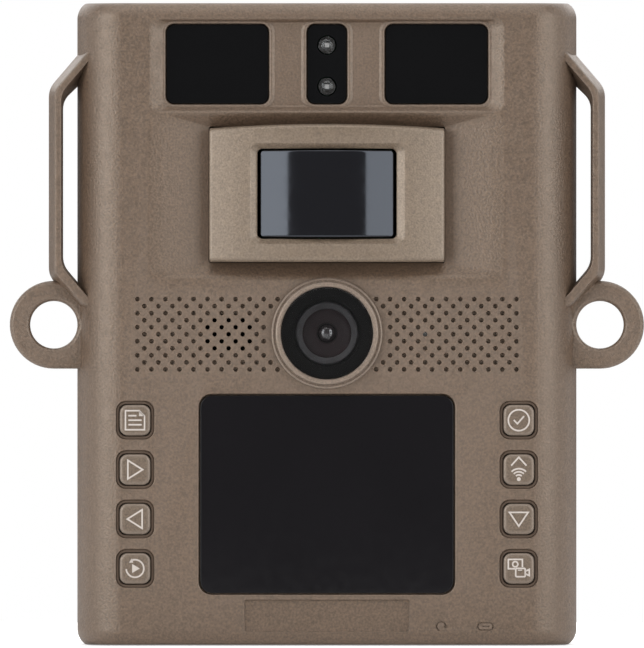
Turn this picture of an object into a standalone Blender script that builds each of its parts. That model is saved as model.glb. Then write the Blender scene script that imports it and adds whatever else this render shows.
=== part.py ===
"""Trail camera: a weatherproof wildlife camera with a display, keys, a motion sensor and a rear battery door.

Metres. +X points to the right as seen from the front, +Y from the front to the back, and +Z is up.
The origin lies on the base, in the middle of the width, near the line where the two housings meet.
"""

import math

import bmesh
import bpy
from mathutils import Matrix, Vector

# Body
BODY_WIDTH = 0.105
BODY_HEIGHT = 0.1348
FRONT = -0.029
SPLIT = -0.003
BACK = 0.0242
WALL = 0.0022
GAP = 0.0003
SIDE_ROUND = (0.0097, 0.012)
BACK_ROUND = (0.008, 0.008)
RIM_BEVEL = 0.0023
PAST = 0.001

# Flash recess and its three windows
FLASH_MOUTH = (0.074, 0.1119, 0.1314)
FLASH_FLOOR = (0.0686, 0.1132, 0.1307)
FLASH_DEPTH = 0.0015
FLASH_BACKING = 0.0037
WINDOW_THICK = 0.0012
WINDOW_SEAT = 0.0016
WINDOW_Z = 0.122
WINDOW_HEIGHT = 0.0166
FLASH_WINDOW_WIDTH = 0.0214
FLASH_WINDOW_X = 0.0230
INDICATOR_WIDTH = 0.0082
WINDOW_CORNER = 0.0016
WINDOW_LEDGE = 0.0014
INDICATOR_LED_Z = (0.1173, 0.126)
INDICATOR_LED_RADIUS = 0.0018
FLASH_BOARD = (0.07, 0.0014, 0.0168)
EMITTER_SIZE = 0.0034
EMITTER_PITCH = 0.0055
FLASH_BOARD_FRONT = FRONT + FLASH_BACKING + 2 * GAP
EMITTER_DEPTHS = (FLASH_BOARD_FRONT - 0.0009, FLASH_BOARD_FRONT + 0.0002)

# Motion sensor pocket, bezel and lens
POCKET_MOUTH = (0.074, 0.0771, 0.1117)
POCKET_FLOOR = (0.0501, 0.0801, 0.1097)
POCKET_SLOPE = 0.0026
POCKET_DEPTH = 0.0075
BEZEL_WIDTH = 0.0495
BEZEL_HEIGHT = 0.029
BEZEL_Z = 0.0949
BEZEL_BULGE = 0.0036
BEZEL_EDGE = -0.0298
BEZEL_OPENING = (0.0292, 0.0189)
BEZEL_FRAME = (0.0326, 0.0213)
BEZEL_FRAME_DEPTH = 0.0011
SENSOR_Z = 0.09475
SENSOR_LENS_EDGE = -0.0300
SENSOR_LENS_BULGE = 0.0032
SENSOR_LENS_THICK = 0.0009
SENSOR_CAN_RADIUS = 0.0046
SENSOR_CAN_HEIGHT = 0.004
SENSOR_BOARD_FRONT = -0.0102

# Camera lens
LENS_Z = 0.06546
LENS_RING_RADIUS = 0.01165
LENS_TUBE_RADIUS = 0.01045
LENS_COVER_RADIUS = 0.00965
LENS_RING_FRONT = -0.0311
LENS_BARREL_RADIUS = 0.0067
LENS_BARREL_FRONT = -0.0278
LENS_BARREL_BACK = -0.0112
HOLDER_SIZE = 0.018
HOLDER_FRONT = -0.0196
HOLDER_BACK = -0.0094
SENSOR_PLATE = (0.026, 0.0016, 0.026)

# Speaker and microphone holes: a staggered lattice centred on the body
HOLE_PITCH = 0.002948
ROW_PITCH = 0.001476
HOLE_RADIUS = 0.00045
SPEAKER_COLUMNS = 3
SPEAKER_ROWS = 5
SOUND_Z = 0.06524
SOUND_X = 7 * HOLE_PITCH
SPEAKER_RADIUS = 0.0085
MICROPHONE_RADIUS = 0.003

# Display and keys
DISPLAY_SIZE = (0.0538, 0.0421)
DISPLAY_Z = 0.03163
DISPLAY_CORNER = 0.0027
DISPLAY_PANEL = (0.059, 0.0037, 0.0461)
KEY_X = 0.0403
KEY_PITCH = 0.01038
KEY_WELL = 0.008
KEY_CAP = 0.0065
KEY_FLANGE = 0.009
KEY_FLANGE_FRONT = -0.0256
KEY_FLANGE_THICK = 0.0008
KEY_FRONT = -0.0293
KEY_TRAVEL = 0.0006
KEY_NAMES = {
    -1: ("key_play", "key_left", "key_right", "key_menu"),
    1: ("key_mode", "key_down", "key_up", "key_ok"),
}
MAT_SIZE = (0.011, 0.0013, 0.0412)
BADGE_SIZE = (0.0346, 0.0067)
BADGE_Z = 0.00607
BADGE_DEPTH = 0.0005

# Main board
BOARD_FRONT = -0.0223
BOARD_THICK = 0.0016
BOARD_BOTTOM = 0.0065
BOARD_TOP = 0.074
BOARD_WIDTH = 0.092

# Port recess in the base, from left to right: card, power switch, reset, USB
PORT_RECESS = ((0.0004, 0.0396), (-0.0248, -0.0124))
PORT_DEPTH = 0.0025
PORT_BACKING = 0.0052
PORT_WALL = 0.0013
SLOT_GAP = 0.0006
PORT_Y = -0.0189
CARD_X = 0.007
CARD_Y = PORT_Y - 0.0006
CARD_SIZE = (0.011, 0.0008, 0.0134)
CARD_BOTTOM = 0.0034
CARD_SOCKET_HEIGHT = 0.0135
SWITCH_X = 0.0173
SWITCH_KNOB = (0.0028, 0.002, 0.0044)
SWITCH_TRAVEL = 0.002
RESET_X = 0.024
RESET_RADIUS = 0.00095
USB_X = 0.0333
USB_SHELL = (0.009, 0.0032, 0.007)
USB_WALL = 0.0004
COVER_THICK = 0.002
COVER_AXIS = (0.0, -0.0137, 0.0012)

# Strap bars and lock eyes, drawn for the right side
BAR_FRONT = -0.025
BAR_BACK = -0.016
BAR_OUTLINE = (
    (0.045, 0.1265),
    (0.0520, 0.1246),
    (0.0584, 0.1166),
    (0.0584, 0.0776),
    (0.0525, 0.0711),
    (0.045, 0.0705),
    (0.045, 0.0745),
    (0.0524, 0.0763),
    (0.0555, 0.0797),
    (0.0555, 0.1143),
    (0.0524, 0.1173),
    (0.045, 0.1187),
)
EYE_CENTRE = (0.05744, 0.06724)
EYE_RADIUS = 0.00924
EYE_HOLE = 0.00498
EYE_FRONT = -0.0218
EYE_BACK = -0.0168

# Screws that hold the housings together
SCREW_X = 0.0435
SCREW_INSET = 0.0065
BOSS_RADIUS = 0.0038
REAR_BOSS_FRONT = 0.002
SCREW_SHANK = 0.0014
SCREW_HEAD = 0.0027
SCREW_SEAT = 0.0202
SCREW_TIP = -0.0145

# Battery bay, cells and door
BAY_WIDTH = 0.063
BAY_BOTTOM = 0.0125
BAY_TOP = 0.1223
BAY_FLOOR = 0.0088
BAY_WALL = 0.0045
CELL_RADIUS = 0.0071
CELL_LENGTH = 0.0502
CELL_PITCH = 0.0152
CELL_Y = 0.0166
CELL_BOTTOM = 0.0171
CONTACT_SIZE = (0.0606, 0.0128, 0.0008)
SPRING_RADII = (0.0042, 0.0026)
SEAL_OFFSET = 0.0024
SEAL_WIDTH = 0.001
HINGE = (0.0385, 0.0265)
HINGE_RADIUS = 0.002
PIN_RADIUS = 0.00095
KNUCKLE_Z = ((0.0297, 0.0417), (0.0931, 0.1051))
BARREL_Z = (0.042, 0.0928)
DOOR_X = (-0.0365, 0.0355)
DOOR_Z = (0.0101, 0.1247)
DOOR_INSIDE = 0.0245
DOOR_OUTSIDE = 0.0273
DOOR_CORNER = 0.004
LATCH_POCKET = ((-0.0345, -0.0205), (0.0563, 0.0785))
LATCH_FLOOR = 0.0257
LATCH_SIZE = (0.0094, 0.0020, 0.0216)
LATCH_TRAVEL = 0.004

# Tree pads and tripod socket
PAD_HALF_WIDTH = 0.028
PAD_Z = ((0.0028, 0.0086), (0.1262, 0.132))
PAD_BACK = 0.028
PAD_GROOVES = 7
GROOVE_PITCH = 0.0076
GROOVE_SIZE = 0.0023
TRIPOD_Y = 0.0105
TRIPOD_BOSS = 0.0068
TRIPOD_RADIUS = 0.0043
TRIPOD_BORE = 0.003
TRIPOD_DEPTH = 0.0075

UP = (0.0, 0.0, 0.0)
TO_FRONT = (math.pi / 2, 0.0, 0.0)
TO_RIGHT = (math.pi / 2, 0.0, math.pi / 2)
SIDES = {"left": -1, "right": 1}

SHELL_TAN = ((0.190, 0.140, 0.105), 0.62, 0.0)
SHELL_LIGHT = ((0.230, 0.172, 0.130), 0.5, 0.0)
BLACK_GLOSS = ((0.012, 0.011, 0.013), 0.12, 0.0)
BLACK_MATT = ((0.02, 0.02, 0.022), 0.55, 0.0)
KEY_BROWN = ((0.160, 0.116, 0.088), 0.55, 0.0)
RUBBER_DARK = ((0.06, 0.047, 0.038), 0.8, 0.0)
SILICONE = ((0.35, 0.34, 0.33), 0.7, 0.0)
CLEAR = ((0.75, 0.78, 0.8), 0.08, 0.0)
BOARD_GREEN = ((0.02, 0.11, 0.05), 0.45, 0.0)
STEEL = ((0.5, 0.5, 0.5), 0.35, 1.0)
BRASS = ((0.62, 0.45, 0.18), 0.35, 1.0)
GREY_METAL = ((0.16, 0.155, 0.15), 0.4, 1.0)
CELL_SLEEVE = ((0.05, 0.09, 0.16), 0.35, 0.0)


def clear_scene():
    for item in list(bpy.data.objects):
        bpy.data.objects.remove(item)


def new_collection(name):
    made = bpy.data.collections.new(name)
    bpy.context.scene.collection.children.link(made)
    return made


def new_object(name, data, location=(0, 0, 0), rotation=UP):
    item = bpy.data.objects.new(name, data)
    item.location = location
    item.rotation_euler = rotation
    PARTS.objects.link(item)
    return item


def from_bmesh(name, shape, location=(0, 0, 0), rotation=UP):
    mesh = bpy.data.meshes.new(name)
    shape.to_mesh(mesh)
    shape.free()
    return new_object(name, mesh, location, rotation)


def box(name, x, y, z):
    """A box between two values on each axis, with its origin at its centre."""
    middle = Vector((sum(x) / 2, sum(y) / 2, sum(z) / 2))
    shape = bmesh.new()
    bmesh.ops.create_cube(shape, size=1)
    bmesh.ops.scale(shape, vec=(x[1] - x[0], y[1] - y[0], z[1] - z[0]), verts=shape.verts)
    return from_bmesh(name, shape, middle)


def centred(middle, size):
    return (middle - size / 2, middle + size / 2)


def frustum(name, mouth, floor, depth, start=FRONT, well=None):
    """A recess that tapers to a depth, then goes straight in; mouth and floor hold a width and two heights."""
    levels = [(-PAST, -PAST / depth), (depth, 1)]
    if well:
        levels.append((well, 1))
    shape = bmesh.new()
    rows = []
    for down, share in levels:
        width, low, high = (a + (b - a) * share for a, b in zip(mouth, floor))
        corners = ((-1, low), (1, low), (1, high), (-1, high))
        rows.append([shape.verts.new((side * width / 2, start + down, z)) for side, z in corners])
    for near, far in zip(rows, rows[1:]):
        for i in range(4):
            shape.faces.new((near[i - 1], near[i], far[i], far[i - 1]))
    shape.faces.new(rows[0])
    shape.faces.new(rows[-1])
    bmesh.ops.recalc_face_normals(shape, faces=shape.faces)
    return from_bmesh(name, shape)


def cylinder(name, radius, length, centre, facing=TO_FRONT, sides=24, tip_radius=None):
    shape = bmesh.new()
    bmesh.ops.create_cone(
        shape,
        cap_ends=True,
        segments=sides,
        radius1=radius,
        radius2=radius if tip_radius is None else tip_radius,
        depth=length,
    )
    return from_bmesh(name, shape, centre, facing)


def arc(centre, radii, start, end, steps):
    """Points along part of an ellipse, angles in quarter turns."""
    angles = [math.pi / 2 * (start + (end - start) * i / steps) for i in range(steps + 1)]
    return [(centre[0] + radii[0] * math.cos(a), centre[1] + radii[1] * math.sin(a)) for a in angles]


def rounded(width, height, radius, steps=3):
    """A rectangle with round corners, about the origin."""
    x, y = width / 2 - radius, height / 2 - radius
    corners = ((x, y, 0), (-x, y, 1), (-x, -y, 2), (x, -y, 3))
    return [p for cx, cy, turn in corners for p in arc((cx, cy), (radius, radius), turn, turn + 1, steps)]


def prism(name, outlines, thickness, centre=(0, 0, 0), facing=TO_FRONT):
    """A plate from flat outlines, the first its edge and the rest its holes."""
    curve = bpy.data.curves.new(name, "CURVE")
    curve.dimensions = "2D"
    curve.fill_mode = "BOTH"
    curve.extrude = thickness / 2
    for outline in outlines:
        spline = curve.splines.new("POLY")
        spline.points.add(len(outline) - 1)
        for point, (x, y) in zip(spline.points, outline):
            point.co = (x, y, 0, 1)
        spline.use_cyclic_u = True
    drawn = new_object(name + "_outline", curve, centre, facing)
    bpy.context.view_layer.update()
    graph = bpy.context.evaluated_depsgraph_get()
    mesh = bpy.data.meshes.new_from_object(drawn.evaluated_get(graph))
    shape = bmesh.new()
    shape.from_mesh(mesh)
    bmesh.ops.remove_doubles(shape, verts=shape.verts, dist=1e-6)
    bmesh.ops.dissolve_limit(shape, angle_limit=math.radians(1), verts=shape.verts, edges=shape.edges)
    shape.to_mesh(mesh)
    shape.free()
    made = new_object(name, mesh)
    made.matrix_world = drawn.matrix_world
    bpy.data.objects.remove(drawn)
    bpy.data.curves.remove(curve)
    return made


def turned(name, profile, centre, facing=TO_FRONT, steps=32):
    """A profile of (radius, height) points turned about the facing axis, listed down its outer side."""
    mesh = bpy.data.meshes.new(name)
    closed = profile[0][0] > 0 or profile[-1][0] > 0
    count = len(profile)
    edges = [(i, (i + 1) % count) for i in range(count if closed else count - 1)]
    mesh.from_pydata([(r, 0, h) for r, h in profile], edges, [])
    made = new_object(name, mesh, centre, facing)
    turn = made.modifiers.new("turn", "SCREW")
    turn.steps = steps
    turn.render_steps = steps
    turn.use_merge_vertices = True
    turn.merge_threshold = 0.00001
    return made


def boolean(item, other, operation):
    step = item.modifiers.new(operation.lower(), "BOOLEAN")
    step.operation = operation
    step.object = other
    PARTS.objects.unlink(other)
    CUTTERS.objects.link(other)
    other.hide_render = True
    other.display_type = "WIRE"


def cut(item, *cutters):
    for cutter in cutters:
        boolean(item, cutter, "DIFFERENCE")


def join(item, *others):
    for other in others:
        boolean(item, other, "UNION")


def set_origin(item, point):
    """Moves an object's origin to a world point and leaves its shape where it is."""
    bpy.context.view_layer.update()
    item.data.transform(Matrix.Translation(-Vector(point)) @ item.matrix_world)
    item.matrix_world = Matrix.Translation(point)


def finish(item, look, parent=None):
    """Gives a part its own material, smooth round faces and its place under the camera's root."""
    colour, roughness, metallic = look
    material = bpy.data.materials.new(item.name)
    material.use_nodes = True
    shader = material.node_tree.nodes["Principled BSDF"]
    shader.inputs["Base Color"].default_value = (*colour, 1)
    shader.inputs["Roughness"].default_value = roughness
    shader.inputs["Metallic"].default_value = metallic
    item.data.materials.clear()
    item.data.materials.append(material)
    item.data.shade_smooth()
    if item.data.polygons:
        item.data.set_sharp_from_angle(angle=math.radians(35))
    bpy.context.view_layer.update()
    place = item.matrix_world.copy()
    item.parent = parent or ROOT
    bpy.context.view_layer.update()
    item.matrix_world = place
    return item


def soften(item, width, segments=1, angle=50):
    """A Bevel on an object's sharp edges, placed before its Booleans."""
    step = item.modifiers.new("soften", "BEVEL")
    step.width = width
    step.segments = segments
    step.limit_method = "ANGLE"
    step.angle_limit = math.radians(angle)
    return item


def body_block(name, inset, front, back, sides_round):
    """The body's rounded form between two depths, pulled in by inset all round."""
    half = BODY_WIDTH / 2 - inset
    across, deep = (r - inset for r in sides_round)
    if sides_round is SIDE_ROUND:
        curve = arc((half - across, front + deep), (across, deep), -1, 0, 8)
        right = curve + [(half, back)]
    else:
        curve = arc((half - across, back - deep), (across, deep), 0, 1, 5)
        right = [(half, front)] + curve
    outline = right + [(-x, y) for x, y in reversed(right)]
    height = BODY_HEIGHT - 2 * inset
    made = prism(name, [outline], height, (0, 0, BODY_HEIGHT / 2), UP)
    open_end = back if sides_round is SIDE_ROUND else front
    shape = bmesh.new()
    shape.from_mesh(made.data)
    rim = [
        edge
        for edge in shape.edges
        if abs(abs(edge.verts[0].co.z) - height / 2) < 1e-6
        and abs(edge.verts[0].co.z - edge.verts[1].co.z) < 1e-6
        and abs(edge.verts[0].co.y + edge.verts[1].co.y - 2 * open_end) > 1e-6
    ]
    offset = RIM_BEVEL - 0.5 * inset
    bmesh.ops.bevel(
        shape, geom=rim, offset=offset, segments=3, profile=0.5, affect="EDGES", clamp_overlap=True
    )
    shape.to_mesh(made.data)
    shape.free()
    return made


def face_outline(inset):
    """The body's outline as seen from the front, with its small corner bevels."""
    half, top, bottom = BODY_WIDTH / 2 - inset, BODY_HEIGHT / 2 - inset, inset - BODY_HEIGHT / 2
    bevel = RIM_BEVEL - 0.5 * inset
    right = [(half - bevel, top), (half, top - bevel), (half, bottom + bevel), (half - bevel, bottom)]
    return right + [(-x, y) for x, y in reversed(right)]


def screw_places():
    for side, sign in SIDES.items():
        for level, z in (("lower", SCREW_INSET), ("upper", BODY_HEIGHT - SCREW_INSET)):
            yield f"{level}_{side}", sign * SCREW_X, z


def key_places():
    for sign, names in KEY_NAMES.items():
        for row, name in enumerate(names):
            yield name, sign * KEY_X, DISPLAY_Z + (row - 1.5) * KEY_PITCH


def sound_holes():
    """The lattice holes that go right through: a patch for the speaker and one for the microphone."""
    places = [(SOUND_X, SOUND_Z)]
    for row in range(SPEAKER_ROWS):
        columns = SPEAKER_COLUMNS + row % 2
        for column in range(columns):
            x = -SOUND_X + (column - (columns - 1) / 2) * HOLE_PITCH
            places.append((x, SOUND_Z + (row - (SPEAKER_ROWS - 1) / 2) * ROW_PITCH))
    return places


def hole_set(name, places, radius, depth, sides=8):
    """One cutter that holds a round hole at each place, through the front wall."""
    shape = bmesh.new()
    for x, z in places:
        place = Matrix.Translation((x, FRONT + depth / 2 - PAST, z)) @ Matrix.Rotation(math.pi / 2, 4, "X")
        bmesh.ops.create_cone(
            shape, cap_ends=True, segments=sides, radius1=radius, radius2=radius, depth=depth, matrix=place
        )
    return from_bmesh(name, shape)


def front_cavity():
    """The room inside the front housing, less what backs its recesses and holds its screws."""
    room = body_block("cut_front_room", WALL, FRONT + WALL, SPLIT + PAST, SIDE_ROUND)
    mouth = (POCKET_MOUTH[0] + 0.005, POCKET_MOUTH[1] - 0.0023, POCKET_MOUTH[2] + 0.0023)
    floor = (POCKET_FLOOR[0] + 0.0044, POCKET_FLOOR[1] - 0.0022, POCKET_FLOOR[2] + 0.0022)
    cut(room, frustum("keep_pocket", mouth, floor, POCKET_SLOPE + WALL, well=POCKET_DEPTH + WALL))
    flash = box(
        "keep_flash",
        (-0.0375, 0.0375),
        (FRONT - PAST, FRONT + FLASH_BACKING),
        (FLASH_MOUTH[1] - 0.001, BODY_HEIGHT),
    )
    (left, right), (near, far) = PORT_RECESS
    sides = (left - PORT_WALL, right + PORT_WALL)
    port = box("keep_port", sides, (FRONT - PAST, far + PORT_WALL), (-PAST, PORT_BACKING))
    cut(room, flash, port)
    for place, x, z in screw_places():
        length = SPLIT - FRONT
        cut(room, cylinder(f"keep_boss_{place}", BOSS_RADIUS, length, (x, SPLIT - length / 2, z), sides=16))
    return room


def make_front_housing():
    shell = body_block("front_housing", 0, FRONT, SPLIT, SIDE_ROUND)
    cut(shell, front_cavity())
    cut(shell, frustum("cut_flash_recess", FLASH_MOUTH, FLASH_FLOOR, FLASH_DEPTH))
    cut(shell, frustum("cut_pocket", POCKET_MOUTH, POCKET_FLOOR, POCKET_SLOPE, well=POCKET_DEPTH))
    windows = (("left", -FLASH_WINDOW_X, FLASH_WINDOW_WIDTH), ("right", FLASH_WINDOW_X, FLASH_WINDOW_WIDTH))
    for place, x, width in (*windows, ("middle", 0, INDICATOR_WIDTH)):
        seat = rounded(width + 2 * GAP, WINDOW_HEIGHT + 2 * GAP, WINDOW_CORNER + GAP)
        depth = FLASH_DEPTH + WINDOW_SEAT + PAST
        cut(shell, prism(f"cut_window_seat_{place}", [seat], depth, (x, FRONT - PAST + depth / 2, WINDOW_Z)))
        sides = centred(x, width - 2 * WINDOW_LEDGE)
        heights = centred(WINDOW_Z, WINDOW_HEIGHT - 2 * WINDOW_LEDGE)
        cut(shell, box(f"cut_window_{place}", sides, (FRONT, FRONT + FLASH_BACKING + PAST), heights))
    opening = (centred(0, 0.032), (FRONT + POCKET_DEPTH - PAST, FRONT + POCKET_DEPTH + 2 * WALL))
    cut(shell, box("cut_sensor_view", *opening, centred(SENSOR_Z, 0.0205)))
    middle = (0, FRONT + WALL, LENS_Z)
    cut(shell, cylinder("cut_lens_hole", LENS_TUBE_RADIUS + GAP, 4 * WALL, middle, sides=32))
    width, height = DISPLAY_SIZE
    seat = rounded(width, height, DISPLAY_CORNER)
    cut(shell, prism("cut_display_seat", [seat], 0.0036, (0, FRONT, DISPLAY_Z)))
    view = rounded(width - 0.003, height - 0.003, DISPLAY_CORNER - 0.001, 2)
    cut(shell, prism("cut_display_view", [view], 4 * WALL, (0, FRONT, DISPLAY_Z)))
    well = rounded(KEY_WELL, KEY_WELL, 0.0021)
    for name, x, z in key_places():
        cut(shell, prism(f"cut_{name}", [well], 3 * WALL, (x, FRONT, z)))
    badge = rounded(*BADGE_SIZE, 0.0002, 1)
    cut(shell, prism("cut_badge", [badge], 2 * BADGE_DEPTH, (0, FRONT, BADGE_Z)))
    cut(shell, hole_set("cut_sound_holes", sound_holes(), HOLE_RADIUS, WALL + 2 * PAST))
    for place, x, z in screw_places():
        depth = SPLIT - SCREW_TIP + PAST
        centre = (x, SPLIT + PAST - depth / 2, z)
        cut(shell, cylinder(f"cut_front_screw_{place}", SCREW_SHANK + GAP, depth, centre, sides=10))
    cut_ports(shell)
    return finish(shell, SHELL_TAN)


def cut_ports(shell):
    (left, right), (near, far) = PORT_RECESS
    cut(shell, box("cut_port_recess", (left, right), (near, far), (-PAST, PORT_DEPTH)))
    through = (PORT_DEPTH - PAST, PORT_BACKING + PAST)
    slots = {
        "card": (CARD_X, CARD_SIZE[0] + SLOT_GAP, CARD_Y, CARD_SIZE[1] + SLOT_GAP),
        "switch": (
            SWITCH_X,
            SWITCH_KNOB[0] + 2 * SWITCH_TRAVEL + SLOT_GAP,
            PORT_Y,
            SWITCH_KNOB[1] + SLOT_GAP,
        ),
        "usb": (USB_X, USB_SHELL[0] + SLOT_GAP, PORT_Y, USB_SHELL[1] + SLOT_GAP),
    }
    for name, (x, width, y, depth) in slots.items():
        cut(shell, box("cut_" + name, centred(x, width), centred(y, depth), through))
    cut(shell, cylinder("cut_reset", RESET_RADIUS + GAP, 0.006, (RESET_X, PORT_Y, 0.004), UP, 12))


def make_strap_bar(side, sign):
    """A moulded handle beside the body that leaves a slot for a strap; it bridges the lock eye's front."""
    bevelled = 0.0008
    outline = [(sign * x, z) for x, z in BAR_OUTLINE]
    bar = prism(f"strap_bar_{side}", [outline], BAR_BACK - BAR_FRONT, (0, (BAR_FRONT + BAR_BACK) / 2, 0))
    soften(bar, bevelled)
    cut(bar, body_block(f"clear_bar_{side}", -GAP, FRONT - GAP, SPLIT + PAST, SIDE_ROUND))
    x, z = EYE_CENTRE
    depth = EYE_BACK - EYE_FRONT + 4 * GAP
    middle = (sign * x, EYE_FRONT - GAP + depth / 2, z)
    cut(bar, cylinder(f"clear_eye_{side}", EYE_RADIUS + GAP, depth, middle, sides=32))
    return finish(bar, SHELL_TAN)


def make_lock_eye(side, sign):
    """A flat ring beside the body for a padlock or cable lock."""
    x, z = EYE_CENTRE
    ring = arc((x, z), (EYE_RADIUS, EYE_RADIUS), -1, 1.5, 20)
    inner = 0.045
    outline = [(inner, z - EYE_RADIUS)] + ring + [(inner, z + 0.6 * EYE_RADIUS)]
    hole = arc((x, z), (EYE_HOLE, EYE_HOLE), 0, 4 - 4 / 24, 23)
    mirrored = [[(sign * px, pz) for px, pz in points] for points in (outline, hole)]
    eye = prism(f"lock_eye_{side}", mirrored, EYE_BACK - EYE_FRONT, (0, (EYE_FRONT + EYE_BACK) / 2, 0))
    soften(eye, 0.0005)
    cut(eye, body_block(f"clear_eye_body_{side}", -GAP, FRONT - GAP, SPLIT + PAST, SIDE_ROUND))
    return finish(eye, SHELL_TAN)


def make_rear_housing():
    front = SPLIT + GAP
    shell = body_block("rear_housing", 0, front, BACK, BACK_ROUND)
    room = body_block("cut_rear_room", WALL, front - PAST, BACK - WALL, BACK_ROUND)
    half = BAY_WIDTH / 2 + BAY_WALL
    heights = (BAY_BOTTOM - BAY_WALL + 0.0005, BAY_TOP + BAY_WALL - 0.0005)
    cut(room, box("keep_bay", (-half, half), (BAY_FLOOR - 0.0017, BACK), heights))
    for place, x, z in screw_places():
        length = BACK - REAR_BOSS_FRONT
        middle = (x, REAR_BOSS_FRONT + length / 2, z)
        cut(room, cylinder(f"keep_rear_boss_{place}", BOSS_RADIUS, length, middle, sides=16))
    cut(room, cylinder("keep_tripod_boss", TRIPOD_BOSS, 0.02, (0, TRIPOD_Y, 0), UP, 20))
    cut(shell, room)
    rabbet = prism("cut_rabbet", [face_outline(0.0011)], 0.0034, (0, front, BODY_HEIGHT / 2))
    cut(shell, rabbet)
    bay = (centred(0, BAY_WIDTH), (BAY_FLOOR, BACK + PAST), (BAY_BOTTOM, BAY_TOP))
    cut(shell, box("cut_bay", *bay))
    middle = (BAY_BOTTOM + BAY_TOP) / 2
    cut(shell, prism("cut_seal_groove", seal_outlines(GAP), 0.0024, (0, BACK, middle)))
    for level, heights in zip(("lower", "upper"), PAD_Z):
        pad = box(f"pad_{level}", centred(0, 2 * PAD_HALF_WIDTH), (BACK - WALL, PAD_BACK), heights)
        soften(pad, 0.0008)
        join(shell, pad)
    for groove in range(PAD_GROOVES):
        middle = ((groove - (PAD_GROOVES - 1) / 2) * GROOVE_PITCH, PAD_BACK + 0.0004, BODY_HEIGHT / 2)
        cut(shell, cylinder(f"cut_groove_{groove}", GROOVE_SIZE, BODY_HEIGHT + 2 * PAST, middle, UP, 4))
    for level, (low, high) in zip(("lower", "upper"), KNUCKLE_Z):
        knuckle = cylinder(f"knuckle_{level}", HINGE_RADIUS, high - low, (*HINGE, (low + high) / 2), UP, 20)
        lug = box(f"lug_{level}", centred(HINGE[0], 2 * HINGE_RADIUS), (BACK - 0.001, HINGE[1]), (low, high))
        join(shell, lug, knuckle)
    pin_length = 0.09
    cut(shell, cylinder("cut_pin", PIN_RADIUS + 0.0002, pin_length, (*HINGE, 0.0674), UP, 16))
    for place, x, z in screw_places():
        cut(shell, cylinder(f"cut_shank_{place}", SCREW_SHANK + GAP, 0.05, (x, 0.012, z), sides=10))
        head = cylinder(f"cut_head_{place}", SCREW_HEAD + GAP, 0.02, (x, SCREW_SEAT + 0.01, z), sides=16)
        cut(shell, head)
    depth = TRIPOD_DEPTH + GAP
    middle = (0, TRIPOD_Y, (depth - PAST) / 2)
    cut(shell, cylinder("cut_tripod", TRIPOD_RADIUS + GAP, depth + PAST, middle, UP, 24))
    return finish(shell, SHELL_TAN)


def seal_outlines(margin):
    """A round-cornered frame for the battery door's seal, or with a margin for its groove."""
    width = BAY_WIDTH + 2 * SEAL_OFFSET
    height = BAY_TOP - BAY_BOTTOM + 2 * SEAL_OFFSET
    outside = rounded(width + SEAL_WIDTH + 2 * margin, height + SEAL_WIDTH + 2 * margin, 0.002 + margin, 2)
    inside = rounded(width - SEAL_WIDTH - 2 * margin, height - SEAL_WIDTH - 2 * margin, 0.001, 2)
    return [outside, inside]


def make_seals():
    middle = (SPLIT + GAP + 0.0007, BODY_HEIGHT / 2)
    outlines = [face_outline(0.0014), face_outline(WALL + 0.0001)]
    finish(prism("housing_gasket", outlines, 0.0014, (0, *middle)), RUBBER_DARK)
    seal = prism("door_seal", seal_outlines(0), 0.0011, (0, BACK - 0.00035, (BAY_BOTTOM + BAY_TOP) / 2))
    finish(seal, RUBBER_DARK)


def make_windows():
    depth = FRONT + FLASH_DEPTH + GAP / 3 + WINDOW_THICK / 2
    pane = rounded(FLASH_WINDOW_WIDTH, WINDOW_HEIGHT, WINDOW_CORNER)
    for side, sign in SIDES.items():
        made = prism(f"flash_window_{side}", [pane], WINDOW_THICK, (sign * FLASH_WINDOW_X, depth, WINDOW_Z))
        finish(made, BLACK_GLOSS)
    radius = INDICATOR_LED_RADIUS + GAP
    holes = [arc((0, z - WINDOW_Z), (radius, radius), 0, 4 - 4 / 16, 15) for z in INDICATOR_LED_Z]
    pane = rounded(INDICATOR_WIDTH, WINDOW_HEIGHT, WINDOW_CORNER)
    finish(prism("indicator_window", [pane, *holes], WINDOW_THICK, (0, depth, WINDOW_Z)), BLACK_GLOSS)


def make_flash_board():
    """One board across the top with a block of emitters behind each flash window and two indicator LEDs."""
    width, thick, height = FLASH_BOARD
    front = FLASH_BOARD_FRONT
    board = box("flash_board", centred(0, width), (front, front + thick), centred(WINDOW_Z, height))
    for side, sign in SIDES.items():
        for column in range(3):
            for row in range(2):
                wide = centred(sign * FLASH_WINDOW_X + (column - 1) * EMITTER_PITCH, EMITTER_SIZE)
                tall = centred(WINDOW_Z + (row - 0.5) * EMITTER_PITCH, EMITTER_SIZE)
                join(board, box(f"emitter_{side}_{column}_{row}", wide, EMITTER_DEPTHS, tall))
    tip = front + 0.0002
    for number, z in enumerate(INDICATOR_LED_Z):
        radius = INDICATOR_LED_RADIUS
        nose = FRONT + FLASH_DEPTH - 0.0006
        dome = [(r, h + tip - nose - radius) for r, h in reversed(arc((0, 0), (radius, radius), 0, 1, 4))]
        dome[0] = (0.0, dome[0][1])
        join(board, turned(f"led_{number}", dome + [(radius, 0), (0, 0)], (0, tip, z), steps=16))
    return finish(board, BOARD_GREEN)


def bulged(width, edge, bulge, back, steps):
    """A plan outline with a straight back and a front that bulges forward in an arc."""
    radius = (width * width / 4 + bulge * bulge) / (2 * bulge)
    half_angle = math.asin(width / 2 / radius)
    points = []
    for i in range(steps + 1):
        angle = half_angle * (2 * i / steps - 1)
        points.append((radius * math.sin(angle), edge - bulge + radius - radius * math.cos(angle)))
    return points, [(width / 2, back), (-width / 2, back)]


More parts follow.
